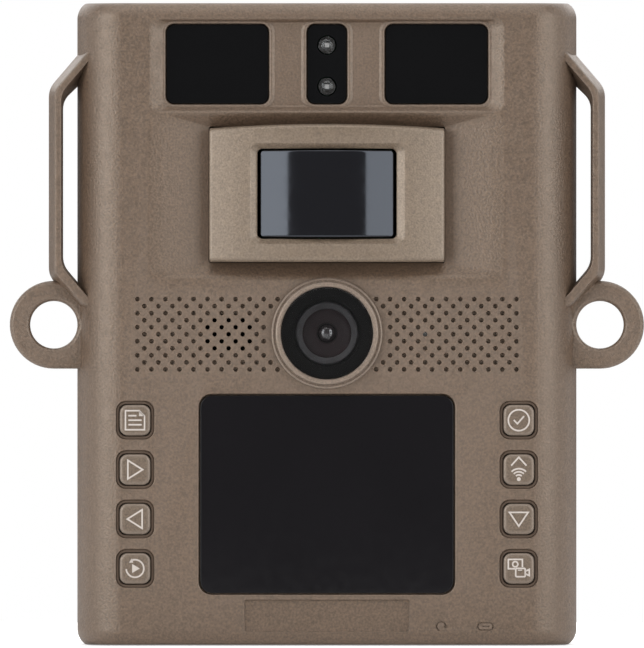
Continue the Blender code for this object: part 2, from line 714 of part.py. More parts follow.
def make_sensor_bezel():
    floor = FRONT + POCKET_DEPTH - GAP
    curve, back = bulged(BEZEL_WIDTH, BEZEL_EDGE, BEZEL_BULGE, floor, 14)
    bezel = prism("sensor_bezel", [curve + back], BEZEL_HEIGHT, (0, 0, BEZEL_Z), UP)
    soften(bezel, 0.0008, 2)
    width, height = BEZEL_OPENING
    through = prism("cut_bezel_view", [rounded(width, height, 0.0009, 2)], 0.03, (0, FRONT, SENSOR_Z))
    width, height = BEZEL_FRAME
    reach = BEZEL_EDGE - BEZEL_BULGE
    mouth = (width + 0.0012, SENSOR_Z - height / 2 - 0.0006, SENSOR_Z + height / 2 + 0.0006)
    inner = (BEZEL_OPENING[0], SENSOR_Z - BEZEL_OPENING[1] / 2, SENSOR_Z + BEZEL_OPENING[1] / 2)
    frame = frustum("cut_bezel_frame", mouth, inner, BEZEL_FRAME_DEPTH + 0.0012, reach)
    cut(bezel, through, frame)
    return finish(bezel, SHELL_LIGHT)


def make_sensor():
    width = BEZEL_OPENING[0] - 2 * GAP
    height = BEZEL_OPENING[1] - 2 * GAP
    outer, _ = bulged(width, SENSOR_LENS_EDGE, SENSOR_LENS_BULGE, 0, 12)
    inner, _ = bulged(width, SENSOR_LENS_EDGE + SENSOR_LENS_THICK, SENSOR_LENS_BULGE, 0, 12)
    lens = prism("sensor_lens", [outer + inner[::-1]], height, (0, 0, SENSOR_Z), UP)
    finish(lens, BLACK_GLOSS)
    back = SENSOR_BOARD_FRONT - GAP
    radius, flange = SENSOR_CAN_RADIUS - 0.0005, SENSOR_CAN_RADIUS
    top = SENSOR_CAN_HEIGHT
    profile = [(0, top), (radius, top), (radius, 0.0006), (flange, 0.0006), (flange, 0), (0, 0)]
    finish(turned("motion_sensor", profile, (0, back, SENSOR_Z), steps=20), STEEL)
    faces = (SENSOR_BOARD_FRONT, SENSOR_BOARD_FRONT + BOARD_THICK)
    finish(box("sensor_board", centred(0, 0.028), faces, centred(SENSOR_Z, 0.025)), BOARD_GREEN)


def make_camera_lens():
    seat = 0.0077
    tall = FRONT - LENS_RING_FRONT - GAP
    ring = [
        (LENS_RING_RADIUS - 0.0008, tall),
        (LENS_RING_RADIUS, tall - 0.0008),
        (LENS_RING_RADIUS, 0),
        (LENS_TUBE_RADIUS, 0),
        (LENS_TUBE_RADIUS, -0.0056),
        (seat, -0.0056),
        (seat, -0.0005),
        (LENS_COVER_RADIUS + GAP, -0.0005),
        (LENS_COVER_RADIUS + GAP, tall - 0.0009),
        (LENS_RING_RADIUS - 0.0012, tall),
    ]
    finish(turned("lens_ring", ring, (0, FRONT - GAP, LENS_Z), steps=48), SHELL_TAN)
    thick = 0.0012
    edge = LENS_COVER_RADIUS
    cover = [(0, thick), (edge, thick), (edge, 0), (0, 0)]
    finish(turned("lens_cover", cover, (0, FRONT - GAP + 0.0002, LENS_Z), steps=40), CLEAR)
    wide, length = LENS_BARREL_RADIUS, LENS_BARREL_BACK - LENS_BARREL_FRONT
    barrel = [
        (0, length - 0.0026),
        (0.0024, length - 0.003),
        (0.0042, length - 0.0016),
        (0.0051, length - 0.0004),
        (0.0056, length),
        (wide - 0.0004, length),
        (wide, length - 0.0004),
        (wide, 0),
        (0, 0),
    ]
    finish(turned("lens_barrel", barrel, (0, LENS_BARREL_BACK, LENS_Z), steps=32), GREY_METAL)
    half = HOLDER_SIZE
    holder = box("lens_holder", centred(0, half), (HOLDER_FRONT, HOLDER_BACK), centred(LENS_Z, half))
    soften(holder, 0.001)
    bore = cylinder("cut_holder", wide + 0.0002, 0.012, (0, LENS_BARREL_BACK + GAP - 0.006, LENS_Z), sides=32)
    cut(holder, bore, box("cut_holder_view", centred(0, 0.008), (HOLDER_FRONT, 0), centred(LENS_Z, 0.008)))
    finish(holder, BLACK_MATT)
    width, thick, height = SENSOR_PLATE
    faces = (HOLDER_BACK + GAP, HOLDER_BACK + GAP + thick)
    finish(box("image_sensor_board", centred(0, width), faces, centred(LENS_Z, height)), BOARD_GREEN)


def make_sound():
    back = FRONT + WALL + GAP
    depth = 0.0036
    r = SPEAKER_RADIUS
    speaker = [(0, depth), (r, depth), (r, 0.001), (0.6 * r, 0.001), (0.6 * r, 0), (0, 0)]
    finish(turned("speaker", speaker, (-SOUND_X, back + depth, SOUND_Z), steps=24), BLACK_MATT)
    depth = 0.0022
    r = MICROPHONE_RADIUS
    capsule = [(0, depth), (r, depth), (r, 0), (0, 0)]
    finish(turned("microphone", capsule, (SOUND_X, back + depth, SOUND_Z), steps=16), STEEL)


def make_display():
    width, height = DISPLAY_SIZE
    glass = rounded(width - 2 * GAP, height - 2 * GAP, DISPLAY_CORNER - GAP)
    finish(prism("display_window", [glass], 0.0015, (0, FRONT + 0.0007, DISPLAY_Z)), BLACK_GLOSS)
    width, thick, height = DISPLAY_PANEL
    front = FRONT + WALL + 0.0004
    panel = box("display_panel", centred(0, width), (front, front + thick), centred(DISPLAY_Z, height))
    finish(panel, BLACK_MATT)


def make_keys():
    """Eight caps, each with a flange that keeps it behind the front wall."""
    cap_depth = KEY_FLANGE_FRONT - KEY_FRONT + KEY_FLANGE_THICK / 2
    flange_y = KEY_FLANGE_FRONT + KEY_FLANGE_THICK / 2
    for name, x, z in key_places():
        key = prism(name, [rounded(KEY_CAP, KEY_CAP, 0.0017)], cap_depth, (x, KEY_FRONT + cap_depth / 2, z))
        soften(key, 0.0004)
        outline = rounded(KEY_FLANGE, KEY_FLANGE, 0.001, 1)
        flange = prism(f"flange_{name}", [outline], KEY_FLANGE_THICK, (x, flange_y, z))
        join(key, flange)
        finish(key, KEY_BROWN)
    width, thick, height = MAT_SIZE
    back = BOARD_FRONT - GAP
    for side, sign in SIDES.items():
        sides = centred(sign * KEY_X, width)
        mat = box(f"keypad_mat_{side}", sides, (back - thick, back), centred(DISPLAY_Z, height))
        for name, x, z in key_places():
            if x * sign > 0:
                join(mat, cylinder(f"dome_{name}", 0.0024, 0.0008, (x, back - thick + 0.0002, z), sides=12))
        finish(mat, SILICONE)


def make_main_board():
    faces = (BOARD_FRONT, BOARD_FRONT + BOARD_THICK)
    board = box("main_board", centred(0, BOARD_WIDTH), faces, (BOARD_BOTTOM, BOARD_TOP))
    notch = 0.0085
    deep = (BOARD_FRONT - PAST, BOARD_FRONT + BOARD_THICK + PAST)
    cut(board, cylinder("cut_board_lens", notch, 0.01, (0, BOARD_FRONT, LENS_Z), sides=32))
    cut(board, box("cut_board_notch", centred(0, 2 * notch), deep, (LENS_Z, BOARD_TOP + PAST)))
    for side, sign in SIDES.items():
        corner = centred(sign * BOARD_WIDTH / 2, 0.0145)
        cut(board, box(f"cut_board_{side}", corner, deep, (BOARD_BOTTOM - PAST, 0.0112)))
    return finish(board, BOARD_GREEN)


def make_ports():
    back = BOARD_FRONT + BOARD_THICK + GAP
    low = PORT_BACKING + GAP
    width, thick, tall = CARD_SIZE
    end = low + CARD_SOCKET_HEIGHT
    socket = box("card_socket", centred(CARD_X, width + 0.002), (back, PORT_Y + 0.001), (low, end))
    bay = (centred(CARD_X, width + SLOT_GAP), centred(CARD_Y, thick + SLOT_GAP), (0, end - 0.0008))
    cut(socket, box("cut_card_bay", *bay))
    finish(socket, STEEL)
    heights = (CARD_BOTTOM, CARD_BOTTOM + tall)
    card = box("memory_card", centred(CARD_X, width), centred(CARD_Y, thick), heights)
    finish(card, BLACK_MATT)
    x, y, z = USB_SHELL
    socket = box("usb_socket", centred(USB_X, x), centred(back + y / 2, y), (low, low + z))
    soften(socket, 0.0004)
    mouth = (centred(USB_X, x - 2 * USB_WALL), centred(back + y / 2, y - 2 * USB_WALL), (0, low + z - 0.0012))
    cut(socket, box("cut_usb_mouth", *mouth))
    finish(socket, STEEL)
    x, y, z = SWITCH_KNOB
    low = PORT_DEPTH + 0.0004
    knob = box("power_switch", centred(SWITCH_X, x), centred(PORT_Y, y), (low, low + z))
    soften(knob, 0.0002)
    finish(knob, BLACK_MATT)
    r, wide = RESET_RADIUS, RESET_RADIUS + 0.0009
    top, collar, under = 0.0035, 0.0033, 0.0027
    plunger = [(0, top), (r, top), (r, collar), (wide, collar), (wide, under), (r, under), (r, 0), (0, 0)]
    finish(turned("reset_button", plunger, (RESET_X, PORT_Y, low), UP, 12), BLACK_MATT)


def make_port_cover():
    """A rubber flap that fills the port recess and turns about its rounded rear edge."""
    (left, right), (near, far) = PORT_RECESS
    x, y, z = COVER_AXIS
    radius = COVER_THICK / 2
    round_end = arc((y, z), (radius, radius), -1, 1, 8)
    outline = [(near + GAP, z - radius), *round_end, (near + GAP, z + radius)]
    cover = prism("port_cover", [outline], right - left - 2 * GAP, ((left + right) / 2, 0, 0), TO_RIGHT)
    set_origin(cover, ((left + right) / 2, y, z))
    return finish(cover, RUBBER_DARK)


def make_screws():
    """Pan head screws with a cross recess, from the back into the front housing."""
    for place, x, z in screw_places():
        length = SCREW_SEAT - SCREW_TIP - GAP
        head = 0.0022
        r, wide = SCREW_SHANK, SCREW_HEAD
        lift = length + GAP
        profile = [
            (0, lift + head),
            (wide - 0.0008, lift + head),
            (wide, lift + head - 0.0008),
            (wide, lift),
            (r, lift),
            (r, 0.001),
            (0.0006, 0),
            (0, 0),
        ]
        screw = turned(f"housing_screw_{place}", profile, (x, SCREW_TIP + GAP, z), (-math.pi / 2, 0, 0), 12)
        end = SCREW_SEAT + GAP + head
        for name, width, height in (("a", 0.003, 0.0008), ("b", 0.0008, 0.003)):
            slot = (centred(x, width), (end - 0.0012, end + PAST), centred(z, height))
            cut(screw, box(f"cut_cross_{name}_{place}", *slot))
        finish(screw, STEEL)


def make_battery_bay():
    top_y = (CELL_Y - CONTACT_SIZE[1] / 2, CELL_Y + CONTACT_SIZE[1] / 2)
    levels = {
        "lower": (BAY_BOTTOM + GAP, 1, CELL_BOTTOM - GAP),
        "upper": (BAY_TOP - GAP - CONTACT_SIZE[2], -1, BAY_TOP - 0.0043),
    }
    for level, (low, up, reach) in levels.items():
        heights = (low, low + CONTACT_SIZE[2])
        plate = box(f"battery_contacts_{level}", centred(0, CONTACT_SIZE[0]), top_y, heights)
        for number in range(4):
            x = (number - 1.5) * CELL_PITCH
            start = sum(heights) / 2
            length = abs(reach - start)
            first, last = SPRING_RADII[::up]
            middle = (x, CELL_Y, (start + reach) / 2)
            join(plate, cylinder(f"spring_{level}_{number}", first, length, middle, UP, 12, last))
        finish(plate, STEEL)
    for row in range(2):
        for column in range(4):
            x = (column - 1.5) * CELL_PITCH
            low = CELL_BOTTOM + row * (CELL_LENGTH + GAP)
            r, nub, body = CELL_RADIUS, 0.0027, CELL_LENGTH - 0.0012
            profile = [(0, CELL_LENGTH), (nub, CELL_LENGTH), (nub, body)]
            profile += [(r - 0.0006, body), (r, body - 0.0006)]
            profile += [(r, 0.0006), (r - 0.0006, 0), (0, 0)]
            cell = turned(f"battery_cell_{row * 4 + column + 1}", profile, (x, CELL_Y, low), UP, 20)
            finish(cell, CELL_SLEEVE)


def make_battery_door():
    middle_x, middle_z = sum(DOOR_X) / 2, sum(DOOR_Z) / 2
    outline = rounded(DOOR_X[1] - DOOR_X[0], DOOR_Z[1] - DOOR_Z[0], DOOR_CORNER)
    thick = DOOR_OUTSIDE - DOOR_INSIDE
    door = prism("battery_door", [outline], thick, (middle_x, DOOR_INSIDE + thick / 2, middle_z))
    set_origin(door, (*HINGE, middle_z))
    soften(door, 0.0006)
    low, high = BARREL_Z
    web = box("door_web", (DOOR_X[1] - 0.002, HINGE[0]), (DOOR_INSIDE, DOOR_OUTSIDE - GAP), (low, high))
    barrel = cylinder("door_barrel", HINGE_RADIUS, high - low, (*HINGE, (low + high) / 2), UP, 20)
    join(door, web, barrel)
    cut(door, cylinder("cut_door_pin", PIN_RADIUS + 0.0002, 0.07, (*HINGE, (low + high) / 2), UP, 16))
    pocket_x, pocket_z = LATCH_POCKET
    cut(door, box("cut_latch_pocket", pocket_x, (LATCH_FLOOR, DOOR_OUTSIDE + PAST), pocket_z))
    finish(door, SHELL_TAN)
    width, thick, height = LATCH_SIZE
    left = pocket_x[0] + GAP
    faces = (LATCH_FLOOR + GAP, LATCH_FLOOR + GAP + thick)
    latch = box("battery_latch", (left, left + width), faces, centred(sum(pocket_z) / 2, height))
    soften(latch, 0.0004)
    for rib in range(3):
        x = left + width * (rib + 1) / 4
        rib_faces = (faces[1] - 0.0002, faces[1] + 0.0006)
        heights = centred(sum(pocket_z) / 2, height - 0.005)
        join(latch, box(f"latch_rib_{rib}", centred(x, 0.0008), rib_faces, heights))
    finish(latch, KEY_BROWN, door)
    low, high = KNUCKLE_Z[0][0], KNUCKLE_Z[1][1]
    pin = cylinder("hinge_pin", PIN_RADIUS, high - low, (*HINGE, (low + high) / 2), UP, 16)
    finish(pin, STEEL)


def make_tripod_insert():
    r, bore, depth = TRIPOD_RADIUS, TRIPOD_BORE, TRIPOD_DEPTH
    profile = [(r, depth), (r, 0.0005), (r - 0.0005, 0), (bore + 0.0005, 0), (bore, 0.0005), (bore, depth)]
    return finish(turned("tripod_insert", profile, (0, TRIPOD_Y, 0), UP, 24), BRASS)


clear_scene()
PARTS = new_collection("trail_camera")
CUTTERS = new_collection("cutters")
CUTTERS.hide_render = True
ROOT = new_object("trail_camera", None)
make_front_housing()
make_rear_housing()
for side_name, side_sign in SIDES.items():
    make_strap_bar(side_name, side_sign)
    make_lock_eye(side_name, side_sign)
make_seals()
make_windows()
make_flash_board()
make_sensor_bezel()
make_sensor()
make_camera_lens()
make_sound()
make_display()
make_keys()
make_main_board()
make_ports()
make_port_cover()
make_screws()
make_battery_bay()
make_battery_door()
make_tripod_insert()
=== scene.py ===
"""Looks for the trail camera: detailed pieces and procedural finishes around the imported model, in millimetres.

Seen from the front, +X is to the right, +Y to the back and +Z up. A turned profile lists (radius, height), and
layers list (depth, growth of the outline there).
"""

import math

import bmesh
import bpy
from mathutils import Matrix, Vector


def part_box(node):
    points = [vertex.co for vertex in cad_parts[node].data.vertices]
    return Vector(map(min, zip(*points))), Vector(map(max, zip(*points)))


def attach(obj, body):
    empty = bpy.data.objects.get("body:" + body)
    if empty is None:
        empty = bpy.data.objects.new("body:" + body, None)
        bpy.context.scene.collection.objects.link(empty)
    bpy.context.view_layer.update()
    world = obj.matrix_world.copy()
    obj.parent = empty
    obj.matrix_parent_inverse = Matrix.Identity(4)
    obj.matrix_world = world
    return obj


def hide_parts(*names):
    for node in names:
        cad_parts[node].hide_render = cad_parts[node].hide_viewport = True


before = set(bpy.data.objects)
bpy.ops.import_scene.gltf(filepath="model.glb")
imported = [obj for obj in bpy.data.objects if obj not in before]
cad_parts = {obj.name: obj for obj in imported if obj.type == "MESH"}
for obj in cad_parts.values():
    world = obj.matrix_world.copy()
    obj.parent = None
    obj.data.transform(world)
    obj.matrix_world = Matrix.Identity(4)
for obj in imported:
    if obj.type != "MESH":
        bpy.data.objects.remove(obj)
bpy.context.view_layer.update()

MM = 0.001

# Body, as in the CAD
WIDTH = 105
HEIGHT = 134.8
FRONT = -29
SPLIT = -3
REAR_FRONT = -2.7
BACK = 24.2
WALL = 2.2
CLEAR = 0.3
FRONT_SIDE = (9.7, 12)
REAR_SIDE = (8, 8)

# How far the outline draws in at each height from the top and bottom edges
RIM = ((1.9, 0), (1.55, 0.12), (1.1, 0.5), (0.68, 1), (0.36, 1.6), (0.14, 2.2), (0.03, 2.7), (0, 3.2))

# Battery door, its hinge and the screws behind it
HINGE = (38.5, 26.5)
HINGE_RADIUS = 2
HINGE_CHAMFER = 0.4
PIN_BORE = 1.15
DOOR = (-0.5, 67.4, 72, 114.6, 4)
DOOR_FACES = (24.5, 27.3)
DOOR_PANELS = (38, 96.8)
LATCH_POCKET = (-27.5, 67.4, 14, 22.2, 1)
TRIPOD = (0, 10.5, 0)
SCREW_BOSS = 3.8
SCREW_BORE = 1.7
CELL_RADIUS = 7.05
CELL_BAND = 33.5

# Strap bars: the outer edge, the front crest's inner edge and the inner edge, from the top to the bottom
BAR_FACES = (-25, -16)
BAR_OUTER = ((46.5, 130.9), (58.5, 116.9), (58.5, 77.5), (51.4, 69.8), (46.5, 69.6))
BAR_CREST = ((46.5, 126.8), (55.8, 115.9), (55.8, 79.6), (49.8, 72.6), (46.5, 72.4))
BAR_INNER = ((46.5, 123.1), (55.5, 114.4), (55.5, 79.8), (49.5, 72.8), (46.5, 72.6))
EYE_FACES = (-21.8, -16.8)
EYE_CENTRE = (57.44, 67.24)
EYE_RADII = (9.24, 4.98)

# Sizes of recesses: x, z, width, height, corner
FLASH_MOUTH = (0, 121.65, 74, 19.5, 1.8)
FLASH_FLOOR = (0, 121.95, 68.6, 17.5, 1.8)
FLASH_DEPTH = 1.5
POCKET_MOUTH = (0, 94.4, 74, 34.6, 2.4)
POCKET_FLOOR = (0, 94.9, 50.1, 29.6, 0.6)
# The pocket's foot, close round the sensor's hood
HOOD_SEAT = (0, 94.55, 49.7, 28.6, 0.4)
POCKET_DEPTH = 7.5
POCKET_SLOPE = 2.6
WINDOW_SEAT = 1.6
WINDOW_LEDGE = 1.4
WINDOW_CORNER = 1.6
PANE_SINK = 0.35
DISPLAY_CORNER = 2.5
KEY_WELL = (8, 2.1)
KEY_CAP = (6.5, 1.7)
BADGE = (0, 6.07, 34.6, 6.7, 0.5)
BADGE_DEPTH = 0.5
PORT_RECESS = ((0.4, 39.6), (-24.8, -12.4))
PORT_DEPTH = 2.5
PORT_BACKING = 5.2

# Layers of the windows' raised lips, the keys' caps and the grooves round them
WINDOW_LIP = (
    (0.2, -0.1), (-0.04, -0.1), (-0.22, 0), (-0.3, 0.2), (-0.3, 0.42),
    (-0.22, 0.7), (-0.04, 0.98), (0.04, 1.1), (0.2, 1.1),
)
KEY_LAYERS = (
    (0.1, -1.15), (0.06, -0.8), (0.08, -0.5), (0.2, -0.2), (0.45, -0.04),
    (0.8, 0), (3.69, 0), (3.7, 1.2), (4.5, 1.2),
)
GROOVE_LAYERS = ((1.1, -0.02), (0.6, -0.02), (0.5, -0.08), (0.48, -0.5), (0.6, -0.62), (1.1, -0.62))

# LEDs behind the middle window and emitters behind the outer ones
LED_HEIGHTS = (117.3, 126)
LED_BORE = 2.05
LED_DOME = 1.9
EMITTER_FIELD = (23, 122)
EMITTER_PITCH = 5.5
BOARD_THICKNESS = 1.4

# Camera lens
LENS_TUBE = 10.75
LENS_SIDES = 96

# Bowed fronts of the sensor's hood and cover
HOOD_CROWN = 0.9
BEZEL_BULGE = 3.6
COVER_BULGE = 3.2
SENSOR_OPENING = (0, 94.75, 29.2, 18.9, 1.1)
SENSOR_FRAME = (0.15, 94.75, 32.7, 21.3, 1.9)

# Dimples: a staggered lattice, some of which are the speaker's and the microphone's holes
LATTICE = (2.948, 1.476)
LATTICE_Z = 65.24
LATTICE_ROWS = 11
DIMPLE = 0.47
DIMPLE_DEPTH = 0.9
LENS_CLEARANCE = 12.3
SPEAKER_X = -20.636
MICROPHONE_X = 20.636

# Widths of the painted and engraved lines
SIGN_PEN = 0.33
MARK_PEN = 0.28
MARK_HEIGHT = 3.9
MARK_DEPTH = 0.3

# Colours of the moulded shell, hood, lens ring and keys
SHELL_COLOUR = (0.08, 0.051, 0.0335)
BEZEL_COLOUR = (0.118, 0.086, 0.06)
RING_COLOUR = (0.14, 0.104, 0.08)
KEY_COLOUR = (0.094, 0.067, 0.048)
SHEEN_TINT = (1.0, 0.86, 0.73, 1)
GRAIN_DEPTH = 0.1
BROAD_PATCHES = 55.0
FINE_PATCHES = 420.0
DARK_PATCH = 0.72
# Convex edges, found from the mesh's pointiness, are painted paler: partly wear, partly a painted highlight along
# the edges
EDGE_WEAR_AND_HIGHLIGHT_SPAN = (0.505, 0.56)
EDGE_WEAR_AND_HIGHLIGHT_PALER = (1.25, 0.045)

# Studio
VIEW_CENTRE = (-1.03, 67.4)
VIEW_WIDTH = 135.24
VIEW_DISTANCE = 6000
AMBIENT = 0.2
FLOOR_RADIUS = 450
FLOOR_GLOW = 0.4

# Soft lights: azimuth, elevation, distance, size and radiance, and for the key lights a colour
KEY_TINT = (0.97, 0.99, 1.0)
SOFTBOXES = {
    "key_left": (-52, 8, 1.0, (0.85, 1.1), 3.85, KEY_TINT),
    "key_right": (52, 8, 1.0, (0.85, 1.1), 3.1, KEY_TINT),
    "top": (0, 64, 1.0, (1.1, 0.5), 2.4),
    "side_left": (-115, 12, 1.0, (0.5, 1.0), 1.0),
    "side_right": (115, 12, 1.0, (0.5, 1.0), 1.1),
    "crown": (180, 72, 1.0, (0.9, 0.4), 3.6),
    "under": (180, -66, 1.0, (0.8, 0.4), 0.7),
    "back_left": (-150, 30, 1.2, (0.8, 0.8), 2.0),
    "back_right": (150, 30, 1.2, (0.8, 0.8), 2.0),
}

AXES = {
    "up": Matrix.Identity(4),
    "front": Matrix.Rotation(math.pi / 2, 4, "X"),
    "back": Matrix.Rotation(-math.pi / 2, 4, "X"),
    "down": Matrix.Rotation(math.pi, 4, "X"),
}
SIDES = {"left": -1, "right": 1}
KEYS = ("key_menu", "key_right", "key_left", "key_play", "key_ok", "key_up", "key_down", "key_mode")
WINDOWS = {
    "flash_window_left": "flash_window_left",
    "flash_window_right": "flash_window_right",
    "indicator_window": "indicator",
}


# --- Shapes ---


def measured(node):
    """A CAD node's centre and size in millimetres."""
    low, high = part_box(node)
    return (low + high) / 2 / MM, (high - low) / MM


def centred(middle, size):
    return (middle - size / 2, middle + size / 2)


def depths_of(node):
    """The depths of a CAD node's front and back."""
    spot, size = measured(node)
    return centred(spot.y, size.y)


def face_of(node, grow, corner):
    """A CAD node's face from the front, grown all round: middle, width, height and corner radius."""
    spot, size = measured(node)
    return (spot.x, spot.z, size.x + 2 * grow, size.z + 2 * grow, corner)


def square_on(node, side, corner):
    """A square with round corners on a CAD node's middle, seen from the front."""
    spot = measured(node)[0]
    return (spot.x, spot.z, side, side, corner)


def in_scene(name, mesh):
    item = bpy.data.objects.new(name, mesh)
    bpy.context.scene.collection.objects.link(item)
    return item


def from_bmesh(name, shape):
    """A new object from millimetre geometry, its faces turned outwards."""
    bmesh.ops.recalc_face_normals(shape, faces=shape.faces)
    bmesh.ops.scale(shape, vec=(MM, MM, MM), verts=shape.verts)
    mesh = bpy.data.meshes.new(name)
    shape.to_mesh(mesh)
    shape.free()
    return in_scene(name, mesh)


def arc(centre, radii, start, end, steps):
    """Points along part of an ellipse, with its angles in quarter turns."""
    angles = [math.pi / 2 * (start + (end - start) * i / steps) for i in range(steps + 1)]
    return [(centre[0] + radii[0] * math.cos(a), centre[1] + radii[1] * math.sin(a)) for a in angles]


def rounded(size, grow=0, steps=6, along=0):
    """A rectangle with round corners from its middle, width, height and corner radius."""
    x, z, width, height, corner = size
    corner = max(corner + grow, 0.02)
    right, top = width / 2 + grow - corner, height / 2 + grow - corner
    bends = []
    for turn, (cx, cz) in enumerate(((right, top), (-right, top), (-right, -top), (right, -top))):
        bends.append(arc((x + cx, z + cz), (corner, corner), turn, turn + 1, steps))
    outline = []
    for bend, following in zip(bends, bends[1:] + bends[:1]):
        start, end = Vector(bend[-1]), Vector(following[0])
        outline += bend + [tuple(start.lerp(end, (i + 1) / (along + 1))) for i in range(along)]
    return outline


def offset_path(path, distance, closed):
    """A path moved sideways by a distance, its bends mitred; an anticlockwise outline moves inwards."""
    moved = []
    count = len(path)
    for i, point in enumerate(path):
        before = Vector(point) - Vector(path[i - 1]) if closed or i else None
        after = Vector(path[(i + 1) % count]) - Vector(point) if closed or i < count - 1 else None
        before = (before or after).normalized()
        after = (after or before).normalized()
        along = (before + after).normalized()
        across = Vector((-along.y, along.x))
        moved.append(tuple(Vector(point) + across * distance / max(along.dot(after), 0.35)))
    return moved


def at_depth(points, y):
    return [(x, y, z) for x, z in points]


def at_height(points, z):
    return [(x, y, z) for x, y in points]


def skin(shape, rings, closed=False):
    """Adds a form through rings with the same number of points, capped at both ends or closed on itself."""
    rows = [[shape.verts.new(point) for point in ring] for ring in rings]
    for low, high in zip(rows, rows[1:] + rows[:1] if closed else rows[1:]):
        for i in range(len(low)):
            shape.faces.new((low[i - 1], low[i], high[i], high[i - 1]))
    if not closed:
        shape.faces.new(rows[0])
        shape.faces.new(rows[-1])


def loft(name, rings, closed=False):
    shape = bmesh.new()
    skin(shape, rings, closed)
    return from_bmesh(name, shape)


def layered(name, outline, layers, start=0, closed=False):
    """A form with a round-cornered outline from the front, grown by a step at each depth from the start."""
    return loft(name, [at_depth(rounded(outline, grow), start + down) for down, grow in layers], closed)


def turned(name, profile, centre, axis="front", sides=72, closed=False):
    """A profile turned about an axis; a radius of 0 makes a pole."""
    shape = bmesh.new()
    rows = []
    for radius, height in profile:
        turns = [2 * math.pi * i / sides for i in range(sides if radius else 1)]
        places = [Vector((radius * math.cos(a), radius * math.sin(a), height)) for a in turns]
        rows.append([shape.verts.new(Vector(centre) + AXES[axis] @ place) for place in places])
    for low, high in zip(rows, rows[1:] + rows[:1] if closed else rows[1:]):
        for i in range(sides):
            corners = []
            for row, index in ((low, i - 1), (low, i), (high, i), (high, i - 1)):
                if row[index % len(row)] not in corners:
                    corners.append(row[index % len(row)])
            shape.faces.new(corners)
    for row in () if closed else (rows[0], rows[-1]):
        if len(row) > 1:
            shape.faces.new(row)
    return from_bmesh(name, shape)


def recess(name, mouth, floor, top, depth, lip, foot, slope=None, steps=4):
    """A cutter for a recess with a rounded lip and a fillet at its foot, narrowing as far down as slope."""
    layers = [(-2, lip), (-0.01, lip)]
    angles = [math.pi / 2 * i / steps for i in range(steps + 1)]
    layers += [(lip * (1 - math.cos(a)), lip * (1 - math.sin(a))) for a in angles[1:]]
    layers += [(depth - foot + foot * math.sin(a), -foot * (1 - math.cos(a))) for a in angles]
    rings = []
    if slope:
        layers.insert(2 + steps, (slope, 0))
    for down, grow in layers:
        share = min(max(down / (slope or depth), 0), 1)
        size = [a + (b - a) * share for a, b in zip(mouth, floor)]
        rings.append(at_depth(rounded(size, grow), top + down))
    return loft(name, rings)


def block(name, x, y, z, edge=0.0, steps=2):
    """A box between two values on each axis with rounded edges."""
    shape = bmesh.new()
    bmesh.ops.create_cube(shape, size=1)
    for vert in shape.verts:
        vert.co = [sum(ends) / 2 + part * (ends[1] - ends[0]) for part, ends in zip(vert.co, (x, y, z))]
    if edge:
        round_off = {"offset": edge, "segments": steps, "profile": 0.5, "affect": "EDGES", "clamp_overlap": True}
        bmesh.ops.bevel(shape, geom=shape.edges[:], **round_off)
    return from_bmesh(name, shape)


def plate(name, size, faces, edge, steps=3):
    """A round-cornered plate between two depths with rounded edges front and back."""
    front, back = faces
    angles = [math.pi / 2 * i / steps for i in range(steps + 1)]
    near = [(front + edge * (1 - math.sin(a)), -edge * (1 - math.cos(a))) for a in reversed(angles)]
    far = [(back - edge * (1 - math.sin(a)), -edge * (1 - math.cos(a))) for a in angles]
    return layered(name, size, near + far)


def softened(points, radius, steps=6):
    """An open path with its corners turned into smooth bends."""
    path = [Vector(points[0])]
    for before, corner, after in zip(points, points[1:], points[2:]):
        before, corner, after = Vector(before), Vector(corner), Vector(after)
        reach = min(radius, (before - corner).length / 2, (after - corner).length / 2)
        start = corner + (before - corner).normalized() * reach
        end = corner + (after - corner).normalized() * reach
        for i in range(steps + 1):
            t = i / steps
            path.append(start * (1 - t) ** 2 + corner * 2 * t * (1 - t) + end * t**2)
    return path + [Vector(points[-1])]


def combine(item, others, operation="DIFFERENCE"):
    """Cuts other objects from an item, or joins them to it, and removes them."""
    group = bpy.data.collections.new("others")
    bpy.context.scene.collection.children.link(group)
    for other in others:
        bpy.context.scene.collection.objects.unlink(other)
        group.objects.link(other)
    step = item.modifiers.new("combine", "BOOLEAN")
    step.operation = operation
    step.operand_type = "COLLECTION"
    step.collection = group
    step.solver = "EXACT"
    apply_modifiers(item)
    for other in others:
        bpy.data.objects.remove(other)
    bpy.data.collections.remove(group)
    return item


def apply_modifiers(item):
    bpy.context.view_layer.update()
    graph = bpy.context.evaluated_depsgraph_get()
    item.data = bpy.data.meshes.new_from_object(item.evaluated_get(graph))
    item.modifiers.clear()


def domed(radius, rise, height, steps):
    """A dome's profile from its pole to its edge."""
    bend = arc((0, height), (radius, rise), 0, 1, steps)[::-1]
    return [(0, bend[0][1])] + bend[1:]


def merged(name, items):
    """Several objects made one, each keeping its own closed surface."""
    shape = bmesh.new()
    for item in items:
        shape.from_mesh(item.data)
        bpy.data.objects.remove(item)
    mesh = bpy.data.meshes.new(name)
    shape.to_mesh(mesh)
    shape.free()
    return in_scene(name, mesh)


def smooth(item, angle=32):
    """Smooth faces with crisp edges, and flat faces that stay flat."""
    item.data.shade_smooth()
    item.data.set_sharp_from_angle(angle=math.radians(angle))
    step = item.modifiers.new("normals", "WEIGHTED_NORMAL")
    step.keep_sharp = True
    step.weight = 90


def piece(item, body, look, *nodes, angle=32):
    """Finishes a piece: its normals, its finish, the body it rides on and the CAD nodes it stands for."""
    smooth(item, angle)
    item.data.materials.clear()
    item.data.materials.append(LOOKS[look])
    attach(item, body)
    if nodes:
        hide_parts(*nodes)
    return item


# --- Finishes ---

LOOKS = {}


def connect(tree, node, inputs):
    """Links or sets each of a node's inputs."""
    for key, value in inputs.items():
        if isinstance(value, bpy.types.NodeSocket):
            tree.links.new(value, node.inputs[key])
        else:
            node.inputs[key].default_value = value


